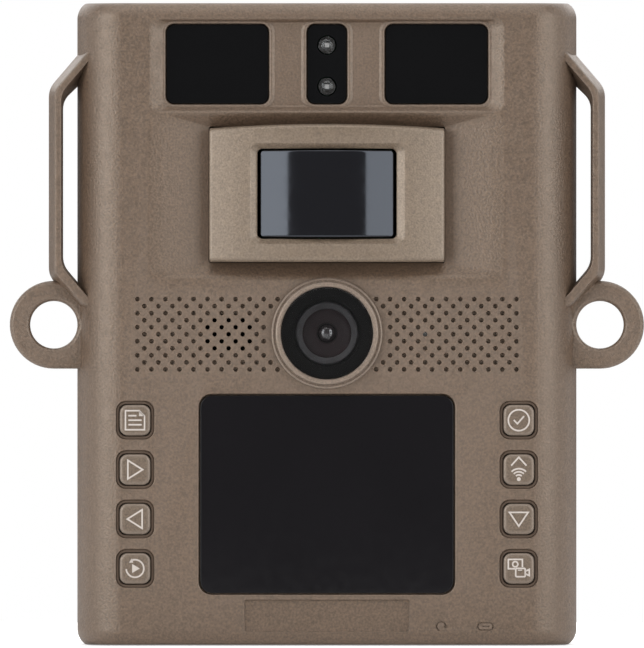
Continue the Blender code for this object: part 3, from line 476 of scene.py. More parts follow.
def add(tree, kind, inputs=None, **settings):
    """A shader node with its settings, and its inputs either linked or set."""
    made = tree.nodes.new("ShaderNode" + kind)
    for key, value in settings.items():
        setattr(made, key, value)
    connect(tree, made, inputs or {})
    return made


def spread(tree, value, low, high, start=0.3, end=0.7):
    """A value's range from start to end mapped to low to high."""
    inputs = {"Value": value, "From Min": start, "From Max": end, "To Min": low, "To Max": high}
    return add(tree, "MapRange", inputs).outputs["Result"]


def blended(tree, factor, first, second):
    """Two colours mixed by a factor."""
    return add(tree, "Mix", {0: factor, 6: first, 7: second}, data_type="RGBA").outputs[2]


def noise(tree, place, scale, detail):
    return add(tree, "TexNoise", {"Vector": place, "Scale": scale, "Detail": detail}).outputs["Fac"]


def shaded(colour, share):
    return (*(part * share for part in colour), 1)


def new_material(name):
    material = bpy.data.materials.new(name)
    material.use_nodes = True
    return material, material.node_tree, material.node_tree.nodes["Principled BSDF"]


def finish(
    name, slot, colour, roughness, grain=0.0, grain_size=0.4, depth=GRAIN_DEPTH, speckle=0.0, mottle=0.05,
    wear_and_highlight=0.0, uneven=0.05, metallic=0.0, specular=0.5, tint=(1, 1, 1, 1), coat=0.0, stretch=(1, 1, 1),
):
    """A moulded or metal surface: fine grain in relief and gloss, soft patches of colour, and edges painted paler
    as wear and as a painted highlight.
    """
    material, tree, shader = new_material(name)
    place = add(tree, "TexCoord").outputs["Object"]
    place = add(tree, "Mapping", {"Vector": place, "Scale": stretch}).outputs["Vector"]
    fine = noise(tree, place, 1 / (grain_size * MM), 3.0)
    patches = noise(tree, place, FINE_PATCHES, 4.0)
    broad = spread(tree, noise(tree, place, BROAD_PATCHES, 2.0), 0, 1)
    base = blended(tree, broad, shaded(colour, 1 - mottle), shaded(colour, 1 + mottle))
    base = blended(tree, spread(tree, patches, 0, 2 * mottle, 0.35, 0.65), base, shaded(colour, DARK_PATCH))
    if speckle:
        grey = spread(tree, fine, 1 - speckle, 1 + speckle)
        base = add(tree, "VectorMath", {0: base, 1: grey}, operation="MULTIPLY").outputs["Vector"]
    # Wear and painted highlight: convex edges, found by pointiness, are mixed towards a paler colour
    if wear_and_highlight:
        edge = spread(tree, add(tree, "NewGeometry").outputs["Pointiness"], 0, wear_and_highlight, *EDGE_WEAR_AND_HIGHLIGHT_SPAN)
        gain, lift = EDGE_WEAR_AND_HIGHLIGHT_PALER
        base = blended(tree, edge, base, (*(min(part * gain + lift, 1) for part in colour), 1))
    if grain:
        relief = add(tree, "Bump", {"Height": fine, "Strength": grain, "Distance": depth * MM})
        tree.links.new(relief.outputs["Normal"], shader.inputs["Normal"])
    inputs = {
        "Base Color": base,
        "Roughness": spread(tree, patches, roughness - uneven, roughness + uneven),
        "Metallic": metallic,
        "Specular IOR Level": specular,
        "Specular Tint": tint,
        "Coat Weight": coat,
        "Coat Roughness": 0.08,
    }
    connect(tree, shader, inputs)
    LOOKS[name] = material
    return shader


def make_finishes():
    # Moulded parts get edges painted paler: wear and a painted highlight, strongest on the keys
    moulded = {"speckle": 0.44, "mottle": 0.04, "wear_and_highlight": 0.35, "specular": 1.0, "tint": SHEEN_TINT}
    shell = {**moulded, "grain": 0.75, "grain_size": 0.45, "depth": 0.15}
    finish("shell_tan", "shell", SHELL_COLOUR, 0.44, **shell)
    finish("door_tan", "shell", SHELL_COLOUR, 0.44, **{**shell, "wear_and_highlight": 0.0})
    finish("bezel_tan", "bezel", BEZEL_COLOUR, 0.36, grain=0.4, **moulded)
    finish("ring_tan", "bezel", RING_COLOUR, 0.36, grain=0.4, grain_size=0.35, **moulded)
    finish("key_tan", "key_cap", KEY_COLOUR, 0.42, grain=0.5, **{**moulded, "wear_and_highlight": 0.8})
    finish("latch_tan", "key_cap", SHELL_COLOUR, 0.46, grain=0.6, **moulded)
    finish("key_groove", "silicone", (0.078, 0.049, 0.031), 0.75, grain=0.4, grain_size=0.3, mottle=0.08)
    finish("paint_cream", "key_cap", (0.46, 0.405, 0.365), 0.6, grain=0.25, grain_size=0.16)
    pane = {"mottle": 0.08, "uneven": 0.03}
    finish("window_black", "black_window", (0.0024, 0.0024, 0.0027), 0.12, specular=0.28, **pane)
    finish("display_black", "display_glass", (0.0052, 0.0046, 0.0055), 0.1, specular=0.3, **pane)
    cover = {"mottle": 0.06, "uneven": 0.03, "specular": 0.6, "tint": (0.815, 0.878, 1, 1)}
    finish("sensor_black", "sensor_lens", (0.0046, 0.0042, 0.005), 0.1, **cover)
    finish("matt_black", "black_plastic", (0.008, 0.0076, 0.0074), 0.6, grain=0.3, mottle=0.08, specular=0.12)
    finish("baffle_black", "black_plastic", (0.002, 0.0018, 0.0017), 0.7, mottle=0.1, specular=0.02)
    finish("stop_brown", "lens_barrel", (0.0068, 0.0034, 0.0037), 0.5, mottle=0.1, specular=0.1)
    finish("bead_black", "lens_glass", (0.012, 0.009, 0.0095), 0.04, uneven=0.01, coat=1.0)
    finish("barrel_grey", "lens_barrel", (0.017, 0.0155, 0.0162), 0.5, grain=0.2, specular=0.16)
    finish("rubber_brown", "rubber_seal", (0.075, 0.055, 0.041), 0.78, grain=0.6, grain_size=0.3, mottle=0.09)
    finish("silicone_grey", "silicone", (0.33, 0.32, 0.31), 0.68, grain=0.3)
    finish("steel", "steel", (0.52, 0.52, 0.51), 0.34, grain=0.15, metallic=1.0, stretch=(1, 1, 0.12))
    finish("brass", "brass", (0.62, 0.45, 0.19), 0.32, grain=0.15, mottle=0.08, metallic=1.0)
    finish("board_green", "circuit_board", (0.012, 0.075, 0.032), 0.4, grain=0.35, grain_size=1.4, mottle=0.12)
    finish("sleeve_blue", "battery_sleeve", (0.03, 0.075, 0.15), 0.3, grain=0.12, coat=0.4)
    finish("sleeve_grey", "battery_sleeve", (0.3, 0.31, 0.32), 0.32, grain=0.12, coat=0.4)
    facets = {"grain": 1.0, "grain_size": 0.22, "depth": 0.6, "metallic": 1.0}
    finish("reflector", "lens_barrel", (0.15, 0.148, 0.146), 0.18, **facets)
    clear = {"clear_glass": ((0.93, 0.94, 0.95), 1.35), "clear_epoxy": ((0.86, 0.87, 0.88), 1.45)}
    for name, (colour, bend) in clear.items():
        shader = finish(name, "lens_glass", colour, 0.012, mottle=0.01, uneven=0.004)
        shader.inputs["Transmission Weight"].default_value = 1.0
        shader.inputs["IOR"].default_value = bend


# --- Housings ---


def front_plan(grow, front=FRONT, back=SPLIT):
    """The front housing's outline from above, pulled in where grow is negative."""
    half = WIDTH / 2 + grow
    across, deep = FRONT_SIDE[0] + grow, FRONT_SIDE[1] + grow
    centre = (half - across, front - grow + deep)
    right = arc(centre, (across, deep), -1, 0, 20) + [(half, back)]
    return right + [(-x, y) for x, y in reversed(right)]


def rear_plan(grow, front=REAR_FRONT, back=BACK):
    """The rear housing's outline from above, pulled in where grow is negative."""
    half = WIDTH / 2 + grow
    across, deep = REAR_SIDE[0] + grow, REAR_SIDE[1] + grow
    centre = (half - across, back + grow - deep)
    right = [(half, front)] + arc(centre, (across, deep), 0, 1, 12)
    return right + [(-x, y) for x, y in reversed(right)]


def body_block(name, plan, grow=0.0, **ends):
    """A housing's form: its outline from above carried up, drawn in round the top and bottom rims."""
    low = [(-step, height - grow) for step, height in RIM]
    rings = [at_height(plan(step + grow, **ends), height) for step, height in low]
    rings += [at_height(plan(step + grow, **ends), HEIGHT - height) for step, height in reversed(low)]
    return loft(name, rings)


def screw_places():
    """Each housing screw's middle, by its CAD name."""
    names = [f"housing_screw_{level}_{side}" for side in SIDES for level in ("lower", "upper")]
    return {name: measured(name)[0] for name in names}


def dimples():
    """The lattice's places, each with whether it goes right through."""
    pitch, rise = LATTICE
    lens = measured("lens_ring")[0]
    for row in range(LATTICE_ROWS):
        z = LATTICE_Z + (LATTICE_ROWS // 2 - row) * rise
        count = 28 - row % 2
        for column in range(count):
            x = (column - (count - 1) / 2) * pitch
            if math.hypot(x - lens.x, z - lens.z) < LENS_CLEARANCE:
                continue
            speaker = abs(x - SPEAKER_X) < 1.9 * pitch - abs(z - LATTICE_Z) / rise % 2 * 0.3
            speaker = speaker and abs(z - LATTICE_Z) < 2.5 * rise
            microphone = math.hypot(x - MICROPHONE_X, z - LATTICE_Z) < 1
            yield x, z, speaker or microphone


def dimple_cutter():
    """One cutter with a flared round pin for each dimple and sound hole."""
    shape = bmesh.new()
    for x, z, through in dimples():
        depth = WALL + 1 if through else DIMPLE_DEPTH
        layers = ((-1, 0.16), (-0.01, 0.16), (0.05, 0.06), (0.16, 0), (depth, -0.03 if through else -0.12))
        rings = []
        for down, grow in layers:
            circle = arc((x, z), (DIMPLE + grow, DIMPLE + grow), 0, 4 - 4 / 14, 13)
            rings.append(at_depth(circle, FRONT + down))
        skin(shape, rings)
    return from_bmesh("cut_dimples", shape)


def strap_bar(sign):
    """A moulded handle with a drafted outer face, a narrow crest and a sloping inside."""
    outer, crest, inner = (softened(path, 1.8) for path in (BAR_OUTER, BAR_CREST, BAR_INNER))
    front, back = BAR_FACES
    outer_steps = (
        (-0.5, back), (-0.12, back - 0.15), (0, back - 0.6), (0, back - 2.6), (-0.14, back - 3.6),
        (-1.1, front + 0.9), (-1.25, front + 0.35), (-1.45, front + 0.08), (-1.7, front),
    )
    crest_steps = ((0.35, front), (0.08, front + 0.1), (0, front + 0.4))
    inner_steps = ((0, back - 1.6), (0, back - 0.4), (0.4, back))
    section = []
    for path, steps in ((outer, outer_steps), (crest, crest_steps), (inner, inner_steps)):
        section += [(offset_path(path, pull, False), y) for pull, y in steps]
    return loft("bar", [[(sign * path[i][0], y, path[i][1]) for path, y in section] for i in range(len(outer))])


def lock_eye(sign):
    """A flat lug with a chamfered rim, and the cutter for its chamfered hole."""
    (x, z), (radius, hole), (front, back) = EYE_CENTRE, EYE_RADII, EYE_FACES
    outline = [(44.5, z - radius)] + arc((x, z), (radius, radius), -1, 1.5, 36) + [(44.5, z + 0.6 * radius)]
    layers = ((front, 0.75), (front + 0.25, 0.35), (front + 0.65, 0.08), (front + 1, 0))
    layers += ((back - 0.6, 0), (back - 0.15, 0.2), (back, 0.6))
    rings = [[(sign * px, y, pz) for px, pz in offset_path(outline, pull, True)] for y, pull in layers]
    thick = back - front
    bore = [(hole + 0.9, thick + 3), (hole + 0.9, thick), (hole + 0.35, thick - 0.3), (hole + 0.08, thick - 0.7)]
    bore += [(hole, thick - 1.1), (hole, 0.7), (hole + 0.5, -0.02), (hole + 0.5, -3)]
    return loft("lug", rings), turned("bore", bore, (sign * x, back, z))


def front_room():
    """The space inside the front housing, less what backs its recesses and holds its screws."""
    room = body_block("room", front_plan, -WALL, back=SPLIT + 1)
    mouth = [a + b for a, b in zip(POCKET_MOUTH, (0, 0, 4, 4, 1))]
    floor = [a + b for a, b in zip(POCKET_FLOOR, (0, 0, 4.4, 4.4, 1))]
    (left, right), (_, far) = PORT_RECESS
    keep = [
        recess("keep_pocket", mouth, floor, FRONT, POCKET_DEPTH + WALL, 0.2, 0.2, POCKET_SLOPE + WALL),
        block("keep_flash", centred(0, 75), (FRONT - 1, FRONT + 3.7), (110.9, HEIGHT)),
        block("keep_port", (left - 1.2, right + 1.2), (FRONT - 1, far + 1.6), (-1, PORT_BACKING)),
    ]
    boss = [(SCREW_BOSS, 0), (SCREW_BOSS, SPLIT - FRONT)]
    keep += [turned("keep_boss", boss, (spot.x, FRONT, spot.z), "back", 24) for spot in screw_places().values()]
    return combine(room, keep)


def port_cutters():
    """The recess in the base and the openings for the card, switch, reset button and socket."""
    (left, right), (near, far) = PORT_RECESS
    size = ((left + right) / 2, (near + far) / 2, right - left, far - near, 1.2)
    layers = ((-2, 0.35), (0.01, 0.35), (0.12, 0.12), (0.35, 0), (PORT_DEPTH, 0))
    yield loft("cut_port", [at_height(rounded(size, grow), z) for z, grow in layers])
    through = (PORT_DEPTH - 1, PORT_BACKING + 1)
    card = measured("memory_card")[1].x + 0.8
    socket, switch = (measured(node)[1] for node in ("usb_socket", "power_switch"))
    openings = {
        "memory_card": (card, 1.5),
        "usb_socket": (socket.x + 0.6, socket.y + 0.6),
        "power_switch": (switch.x + 4.6, switch.y + 0.6),
    }
    for node, (wide, deep) in openings.items():
        spot = measured(node)[0]
        yield block("cut_" + node, centred(spot.x, wide), centred(spot.y, deep), through)
    spot = measured("reset_button")[0]
    yield turned("cut_reset", [(1.25, 0), (1.25, 6)], (spot.x, spot.y, 1), "up", 24)


def front_cutters():
    """Everything that is cut from the front housing."""
    yield front_room()
    yield recess("cut_flash", FLASH_MOUTH, FLASH_FLOOR, FRONT, FLASH_DEPTH, 0.5, 0.25)
    yield recess("cut_pocket", POCKET_MOUTH, HOOD_SEAT, FRONT, POCKET_DEPTH, 0.6, 0.3, POCKET_SLOPE)
    through = ((1, 0), (5, 0))
    for node in WINDOWS:
        seat = face_of(node, CLEAR, WINDOW_CORNER + CLEAR)
        yield recess("cut_seat", seat, seat, FRONT + FLASH_DEPTH, WINDOW_SEAT, 0.45, 0.1)
        yield layered("cut_view", face_of(node, -WINDOW_LEDGE, 0.6), through, FRONT)
    yield block("cut_sensor", centred(0, 32), (FRONT + POCKET_DEPTH - 1, FRONT + POCKET_DEPTH + 4), (84.5, 105))
    spot = measured("lens_ring")[0]
    bore = [(LENS_TUBE + 0.3, -3), (LENS_TUBE + 0.3, -0.01), (LENS_TUBE, 0.3), (LENS_TUBE, 6)]
    yield turned("cut_lens", bore, (spot.x, FRONT, spot.z), "back")
    seat = face_of("display_window", CLEAR, DISPLAY_CORNER + 0.2)
    yield recess("cut_display", seat, seat, FRONT, 1.8, 0.36, 0.1)
    yield layered("cut_display_view", face_of("display_window", -1.2, 1.7), through, FRONT)
    for node in KEYS:
        well = square_on(node, *KEY_WELL)
        yield recess("cut_well", well, well, FRONT, WALL + 1.4, 0.28, 0.05)
    yield recess("cut_badge", BADGE, BADGE, FRONT, BADGE_DEPTH, 0.2, 0.15)
    yield dimple_cutter()
    for spot in screw_places().values():
        yield turned("cut_screw", [(SCREW_BORE, 0), (SCREW_BORE, 14)], (spot.x, -15, spot.z), "back", 20)
    yield from port_cutters()
    yield from base_marks()


def base_marks():
    """Two small engraved signs over the ports: a circular arrow for reset and a socket outline."""
    x, z = measured("reset_button")[0].x, MARK_HEIGHT
    turn = arc((x, z), (0.95, 0.95), -0.2, 2.7, 18)
    yield from engraved(stroke_outlines([turn], [], MARK_PEN))
    yield from engraved([[(x + 0.5, z - 0.2), (x + 1.4, z - 0.2), (x + 0.95, z + 0.5)]])
    x = measured("usb_socket")[0].x
    yield from engraved(stroke_outlines([], [rounded((x, z, 3.2, 1.5, 0.7), 0, 4)], MARK_PEN))
    yield from engraved([rounded((x, z, 1.6, 0.3, 0.05), 0, 1)])


def engraved(outlines):
    for outline in outlines:
        yield loft("cut_mark", [at_depth(outline, y) for y in (FRONT - 0.5, FRONT + MARK_DEPTH)])


def make_front_shell():
    """The front housing with its strap bars and lock eyes, which are moulded in one piece with it."""
    shell = body_block("front_shell", front_plan)
    joined, bores = [], []
    for sign in SIDES.values():
        lug, bore = lock_eye(sign)
        joined += [strap_bar(sign), lug]
        bores.append(bore)
    combine(shell, joined, "UNION")
    combine(shell, bores + list(front_cutters()))
    nodes = ["front_housing"] + [f"{part}_{side}" for part in ("strap_bar", "lock_eye") for side in SIDES]
    piece(shell, "root", "shell_tan", *nodes)


def hinge_barrel(name, low, high, sides):
    """A chamfered hinge barrel between two heights, shared by the housing's knuckles and the door."""
    narrow = HINGE_RADIUS - HINGE_CHAMFER
    wide = [(HINGE_RADIUS, low + HINGE_CHAMFER), (HINGE_RADIUS, high - HINGE_CHAMFER)]
    profile = [(narrow, low), *wide, (narrow, high)]
    return turned(name, profile, (*HINGE, 0), "up", sides)


def pin_cutter():
    return turned("cut_pin", [(PIN_BORE, 20), (PIN_BORE, 115)], (*HINGE, 0), "up", 32)


def make_rear_shell():
    """The rear housing: grooved tree pads, hinge knuckles, the battery bay and the seal's groove round it."""
    shell = body_block("rear_shell", rear_plan)
    pads = [
        block("pad", centred(0, 56), (BACK - WALL, 28), heights, 0.8, 3) for heights in ((2.8, 8.6), (126.2, 132))
    ]
    for low, high in ((29.7, 41.7), (93.1, 105.1)):
        pads.append(hinge_barrel("knuckle", low, high, 32))
        pads.append(block("lug", centred(HINGE[0], 4), (BACK - 1, HINGE[1]), (low + 0.01, high - 0.01)))
    combine(shell, pads, "UNION")
    room = body_block("room", rear_plan, -WALL, front=REAR_FRONT - 1)
    screws = screw_places().values()
    keep = [block("keep_bay", centred(0, 72), (7.1, BACK), (8.5, 126.3))]
    boss = [(SCREW_BOSS, 2), (SCREW_BOSS, BACK)]
    keep += [turned("keep_boss", boss, (spot.x, 0, spot.z), "back", 24) for spot in screws]
    keep.append(turned("keep_socket", [(6.8, 0), (6.8, 10)], TRIPOD, "up", 32))
    cutters = [combine(room, keep)]
    cutters.append(block("cut_bay", centred(0, 63), (8.8, BACK + 1), (12.5, 122.3), 0.6))
    head = [(SCREW_BORE, -5), (SCREW_BORE, 20.2), (3, 20.2)]
    head += [(3, BACK - 0.25), (3.3, BACK + 0.01), (3.3, BACK + 1)]
    cutters += [turned("cut_screw", head, (spot.x, 0, spot.z), "back", 32) for spot in screws]
    cutters.append(turned("cut_socket", [(4.9, -1), (4.9, 0.01), (4.6, 0.3), (4.6, 7.8)], TRIPOD, "up", 48))
    cutters.append(pin_cutter())
    for groove in range(7):
        x = (groove - 3) * 7.6
        notch = [(x - 2.6, 28.7), (x, 26.1), (x + 2.6, 28.7)]
        cutters.append(loft("cut_groove", [at_height(notch, z) for z in (-5, HEIGHT + 5)]))
    combine(shell, cutters)
    groove = layered("groove", face_of("door_seal", 0.3, 2.3), ((-1.2, 0), (1, 0)), BACK)
    core = layered("core", face_of("door_seal", -1.3, 1), ((-2, 0), (2, 0)), BACK)
    combine(shell, [combine(groove, [core])])
    piece(shell, "root", "shell_tan", "rear_housing")


# --- Front pieces ---


def make_windows():
    """The black windows and their fine raised lips; the middle one has two round holes for its LEDs."""
    for node, stem in WINDOWS.items():
        front, back = depths_of(node)
        pane = plate(stem + "_pane", face_of(node, 0, WINDOW_CORNER), (front + PANE_SINK, back), 0.18)
        if stem == "indicator":
            bore = [(LED_BORE, -30), (LED_BORE, -20)]
            combine(pane, [turned("cut_led", bore, (0, 0, z), "back", 48) for z in LED_HEIGHTS])
        piece(pane, "root", "window_black", node)
        outline = face_of(node, CLEAR, WINDOW_CORNER + CLEAR)
        lip = layered(stem + "_lip", outline, WINDOW_LIP, FRONT + FLASH_DEPTH, closed=True)
        piece(lip, "root", "shell_tan", angle=60)


def make_leds():
    """The board behind the windows, with two clear LEDs in the middle and the infrared emitters at the sides."""
    board, size = measured("flash_board")
    front = board.y + size.y / 2 - BOARD_THICKNESS
    cup = [(0, 1.2), (0.75, 1.2), (1.55, 2.6), (1.72, 2.6), (1.72, 0.3), (0, 0.3)]
    dome = domed(LED_DOME, LED_DOME, 1.7, 10) + [(LED_DOME, 0.1), (0, 0.1)]
    for number, z in enumerate(LED_HEIGHTS):
        centre = (0, front, z)
        piece(turned(f"led_cup_{number}", cup, centre, "front", 40), "root", "reflector")
        chip = block(f"led_chip_{number}", centred(0, 0.6), (front - 1.5, front - 1.1), centred(z, 0.6), 0.05)
        piece(chip, "root", "silicone_grey")
        lens = piece(turned(f"led_dome_{number}", dome, centre, "front", 48), "root", "clear_epoxy")
        lens.visible_shadow = False
    can = [(0, 1), (0.6, 0.95), (1.1, 0.75), (1.5, 0.4), (1.7, 0.38), (1.7, 0), (0, 0)]
    emitters = []
    for sign in SIDES.values():
        for column in (-1, 0, 1):
            for row in (-0.5, 0.5):
                x, z = sign * EMITTER_FIELD[0] + column * EMITTER_PITCH, EMITTER_FIELD[1] + row * EMITTER_PITCH
                emitters.append(turned("emitter", can, (x, front, z), "front", 24))
    depths = (front, front + BOARD_THICKNESS)
    circuit = block("flash_circuit", centred(board.x, size.x), depths, centred(board.z, size.z), 0.1)
    piece(circuit, "root", "board_green", "flash_board")
    piece(merged("flash_emitters", emitters), "root", "reflector")


def bow_radius(half, bulge):
    """The radius of an arc of a half width that bulges by a height."""
    return (half * half + bulge**2) / (2 * bulge)


def bowed(x, front, radius):
    """The depth at x of a front that bulges forward in an arc."""
    return front + radius - math.sqrt(radius * radius - x * x)


def bowed_front(half, front, radius, edge=0.7, steps=36):
    """Points across a bowed front that turns into its sides over a small edge."""
    places = [(half - edge) * (2 * i / steps - 1) for i in range(steps + 1)]
    side = bowed(half - edge, front, radius)
    turn = [(half - 0.6 * edge, side + 0.1 * edge), (half - 0.3 * edge, side + 0.3 * edge)]
    turn += [(half - 0.1 * edge, side + 0.6 * edge), (half, side + edge)]
    return [(-x, y) for x, y in reversed(turn)] + [(x, bowed(x, front, radius)) for x in places] + turn


def make_bezel():
    """The sensor's hood: bowed forward, with a crowned top edge and a soft frame sunk round its opening."""
    spot, size = measured("sensor_bezel")
    half, (front, back), (low, high) = size.x / 2, centred(spot.y, size.y), centred(spot.z, size.z)
    radius = bow_radius(half, BEZEL_BULGE)
    rings = []
    for height, pull in ((0, 1), (0.1, 0.62), (0.32, 0.3), (0.62, 0.09), (1, 0)):
        ring = bowed_front(half - 0.3 * pull, front + pull, radius) + [(half, back), (-half, back)]
        top = [(x, y, high - height - HOOD_CROWN * (x / half) ** 2) for x, y in ring]
        middle = len(rings) // 2
        rings[middle:middle] = [at_height(ring, low + height), top]
    frame_steps = ((0, -4), (0, 0.02), (0.1, 0.1), (0.3, 0.36), (0.65, 0.86), (0.88, 1.12), (0.98, 1.4), (1, 1.8))
    cuts = []
    for share, down in frame_steps:
        edge = [a + (b - a) * share for a, b in zip(SENSOR_FRAME, SENSOR_OPENING)]
        cuts.append([(x, bowed(x, front, radius) + down, z) for x, z in rounded(edge, along=24)])
    cuts.append(at_depth(rounded(SENSOR_OPENING, along=24), back + 1))
    hood = combine(loft("sensor_hood", rings), [loft("cut_frame", cuts)])
    piece(hood, "root", "bezel_tan", "sensor_bezel", angle=40)


def make_sensor_cover():
    """The dark cover over the sensor: a thin sheet bent to an arc, with round corners."""
    spot, size = measured("sensor_lens")
    half, front, tall, corner, thick = size.x / 2 - 0.3, spot.y - size.y / 2, size.z / 2, 0.9, 0.8
    radius = bow_radius(half, COVER_BULGE)
    rings = []
    turns = [math.pi / 2 * i / 6 for i in range(7)]
    for side, angles in ((-1, turns[::-1]), (1, turns)):
        for a in angles:
            wide, pull = half - corner * (1 - math.cos(a)), 0.22 * math.sin(a) ** 6
            curve = bowed_front(wide, front + pull, radius, 0.2)
            sheet = curve + [(x, y + thick - pull) for x, y in reversed(curve)]
            rings.append(at_height(sheet, spot.z + side * (tall - corner * (1 - math.sin(a)))))
    piece(loft("sensor_cover", rings), "root", "sensor_black", "sensor_lens", angle=50)


def make_camera_lens():
    """The lens from the outside in: stepped ring, cover glass, baffle, barrel, stops and front element."""
    spot = measured("lens_ring")[0]
    centre = (spot.x, FRONT, spot.z)
    front = FRONT - depths_of("lens_barrel")[0]
    rings = {
        ("lens_surround", "ring_tan", "lens_ring"): [
            (11.65, 0.05), (11.65, 0.7), (11.58, 0.95), (11.42, 1.08), (11.25, 1.1), (11.15, 1.02), (11.05, 0.98),
            (10.82, 0.98), (10.78, 1.05), (10.76, 1.8), (10.7, 1.98), (10.55, 2.08), (10.38, 2.1), (10.0, 2.04),
            (9.84, 1.9), (9.74, 1.65), (9.7, 1.3), (9.7, -5.3), (10.4, -5.3), (10.4, 0.02),
        ],
        ("lens_baffle", "baffle_black"): [
            (9.66, 0.24), (9.4, 0.24), (8.6, 0.1), (7.2, -0.2),
            (6.9, -0.5), (6.9, -1.6), (7.4, -1.6), (9.66, -0.6),
        ],
        ("barrel", "barrel_grey", "lens_barrel"): [
            (6.7, front - 15.5), (6.7, front - 0.5), (6.55, front - 0.15), (6.3, front), (5.6, front - 0.12),
            (5.35, front - 0.3), (5.15, front - 0.32), (4.9, front - 5), (4.9, front - 15.5),
        ],
        ("lens_stops", "stop_brown"): [
            (5.13, front - 0.4), (5.0, front - 0.7), (4.2, front - 1.3), (3.2, front - 1.6),
            (2.25, front - 1.65), (2.1, front - 1.8), (2.05, front - 4), (5.13, front - 4),
        ],
    }
    for (name, look, *nodes), profile in rings.items():
        piece(turned(name, profile, centre, sides=LENS_SIDES, closed=True), "root", look, *nodes)
    cover = [(0, 1.15), (9.35, 1.15), (9.6, 0.9), (9.6, 0.3), (0, 0.3)]
    glass = piece(turned("lens_glass", cover, centre, sides=LENS_SIDES), "root", "clear_glass", "lens_cover")
    glass.visible_shadow = False
    bead = domed(2.0, 1.7, front - 3.3, 12) + [(0, front - 3.3)]
    piece(turned("inner_lens", bead, centre, sides=64), "root", "bead_black")


def make_display():
    front, back = depths_of("display_window")
    faces = (max(front, FRONT + PANE_SINK), back)
    glass = plate("display_glass", face_of("display_window", 0, DISPLAY_CORNER), faces, 0.2)
    piece(glass, "root", "display_black", "display_window")


# --- Keys and their signs ---


def stroke_outlines(opened, closed, width):
    """Outlines of open lines drawn with a pen of a width, and of closed ones cut in two halves."""
    outlines = []
    for path in opened:
        outlines.append(offset_path(path, width / 2, False) + offset_path(path, -width / 2, False)[::-1])
    for path in closed:
        outer, inner = offset_path(path, width / 2, True), offset_path(path, -width / 2, True)
        half = len(path) // 2 + 1
        outlines.append(outer[:half] + inner[:half][::-1])
        outlines.append(outer[half - 1 :] + outer[:1] + inner[:1] + inner[half - 1 :][::-1])
    return outlines


def signs():
    """Each key's sign as open lines, closed lines and filled shapes, in millimetres from the key's centre."""
    page = [(-2, -2), (2, -2), (2, 0.85), (0.85, 2), (-2, 2)]
    rules = [[(-1.4, z), (end, z)] for z, end in ((0.95, 0.3), (0, 1.4), (-0.95, 1.4))]
    circle = arc((0, 0), (2.2, 2.2), 0, 4 - 4 / 40, 39)
    waves = [arc((0, -1.95), (r, r), 0.5, 1.5, 10) for r in (0.85, 1.5, 2.15)]
    lens = arc((-0.75, 0.9), (0.55, 0.55), 0, 4 - 4 / 20, 19)
    return {
        "key_menu": (rules, [page], [[(0.85, 2), (0.85, 0.85), (2, 0.85)]]),
        "key_right": ([], [[(-1.5, -1.95), (1.6, 0), (-1.5, 1.95)]], []),
        "key_left": ([], [[(1.5, 1.95), (-1.6, 0), (1.5, -1.95)]], []),
        "key_play": (
            [arc((0, 0), (1.85, 1.85), -1.95, 1.25, 30)],
            [],
            [[(-0.6, -0.95), (1.0, 0), (-0.6, 0.95)], [(-1.25, 1.2), (-0.35, 1.25), (-0.7, 2.1)]],
        ),
        "key_ok": ([[(-1.05, 0.05), (-0.3, -0.75), (1.1, 0.85)]], [circle], []),
        "key_up": (
            [[(-1.6, 0.85), (0, 2.6), (1.6, 0.85)]] + waves,
            [],
            [arc((0, -2), (0.42, 0.42), 0, 4 - 4 / 12, 11)],
        ),
        "key_down": ([], [[(-1.95, 1.4), (0, -1.5), (1.95, 1.4)][::-1]], []),
        "key_mode": (
            [
                [(-0.8, -0.05), (-2.2, -0.05), (-2.2, 1.9), (0.75, 1.9), (0.75, 0.3)],
                [(1.45, -0.55), (2.2, -0.2), (2.2, -1.5), (1.45, -1.15)],
            ],
            [rounded((0.35, -0.85, 2.0, 1.75, 0.25), 0, 3), lens],
            [rounded((0.25, -0.35, 0.95, 0.2, 0.05), 0, 1)],
        ),
    }


def make_keys():
    """Each key's cap, its painted sign and the groove round it."""
    drawings = signs()
    for node in KEYS:
        spot = measured(node)[0]
        front = depths_of(node)[0]
        cap = layered(node + "_cap", square_on(node, *KEY_CAP), KEY_LAYERS, front)
        piece(cap, node, "key_tan", node, angle=45)
        opened, closed, filled = drawings[node]
        marks = []
        for outline in stroke_outlines(opened, closed, SIGN_PEN) + filled:
            placed = [(spot.x + x, spot.z + z) for x, z in outline]
            marks.append(loft("mark", [at_depth(placed, front + y) for y in (0.04, 0.2)]))
        piece(merged(node + "_sign", marks), node, "paint_cream", angle=60)
        skirt = layered(node + "_skirt", square_on(node, *KEY_WELL), GROOVE_LAYERS, FRONT, closed=True)
        piece(skirt, "root", "key_groove", angle=60)


# --- Base, back and battery ---


def make_port_cover():
    """The rubber flap in the base: a rounded hinge edge at the back, a finger notch and two stiffening ribs."""
    (left, right), (near, _) = PORT_RECESS
    axis_y, axis_z, radius = -13.7, 1.2, 1.0
    start, end = left + CLEAR, right - CLEAR
    lip = near + CLEAR
    section = [(lip, axis_z + radius), (lip, axis_z - radius + 0.35), (lip + 0.35, axis_z - radius)]
    section += [(axis_y, axis_z - radius)] + arc((axis_y, axis_z), (radius, radius), -0.8, 1, 12)
    layers = ((start, 0.3), (start + 0.1, 0.1), (start + 0.3, 0), (end - 0.3, 0), (end - 0.1, 0.1), (end, 0.3))
    flap = loft("port_flap", [[(x, y, z) for y, z in offset_path(section, pull, True)] for x, pull in layers])
    combine(flap, [block("nail", centred((start + end) / 2, 9), (near - 1, near + 1.1), (-1, 0.75), 0.2)])
    ribs = [block("rib", centred(x, 1.1), (-23.4, -15.4), (2.1, 2.4), 0.1) for x in (2.2, 37.8)]
    combine(flap, ribs, "UNION")
    piece(flap, "port_cover", "rubber_brown", "port_cover", angle=40)


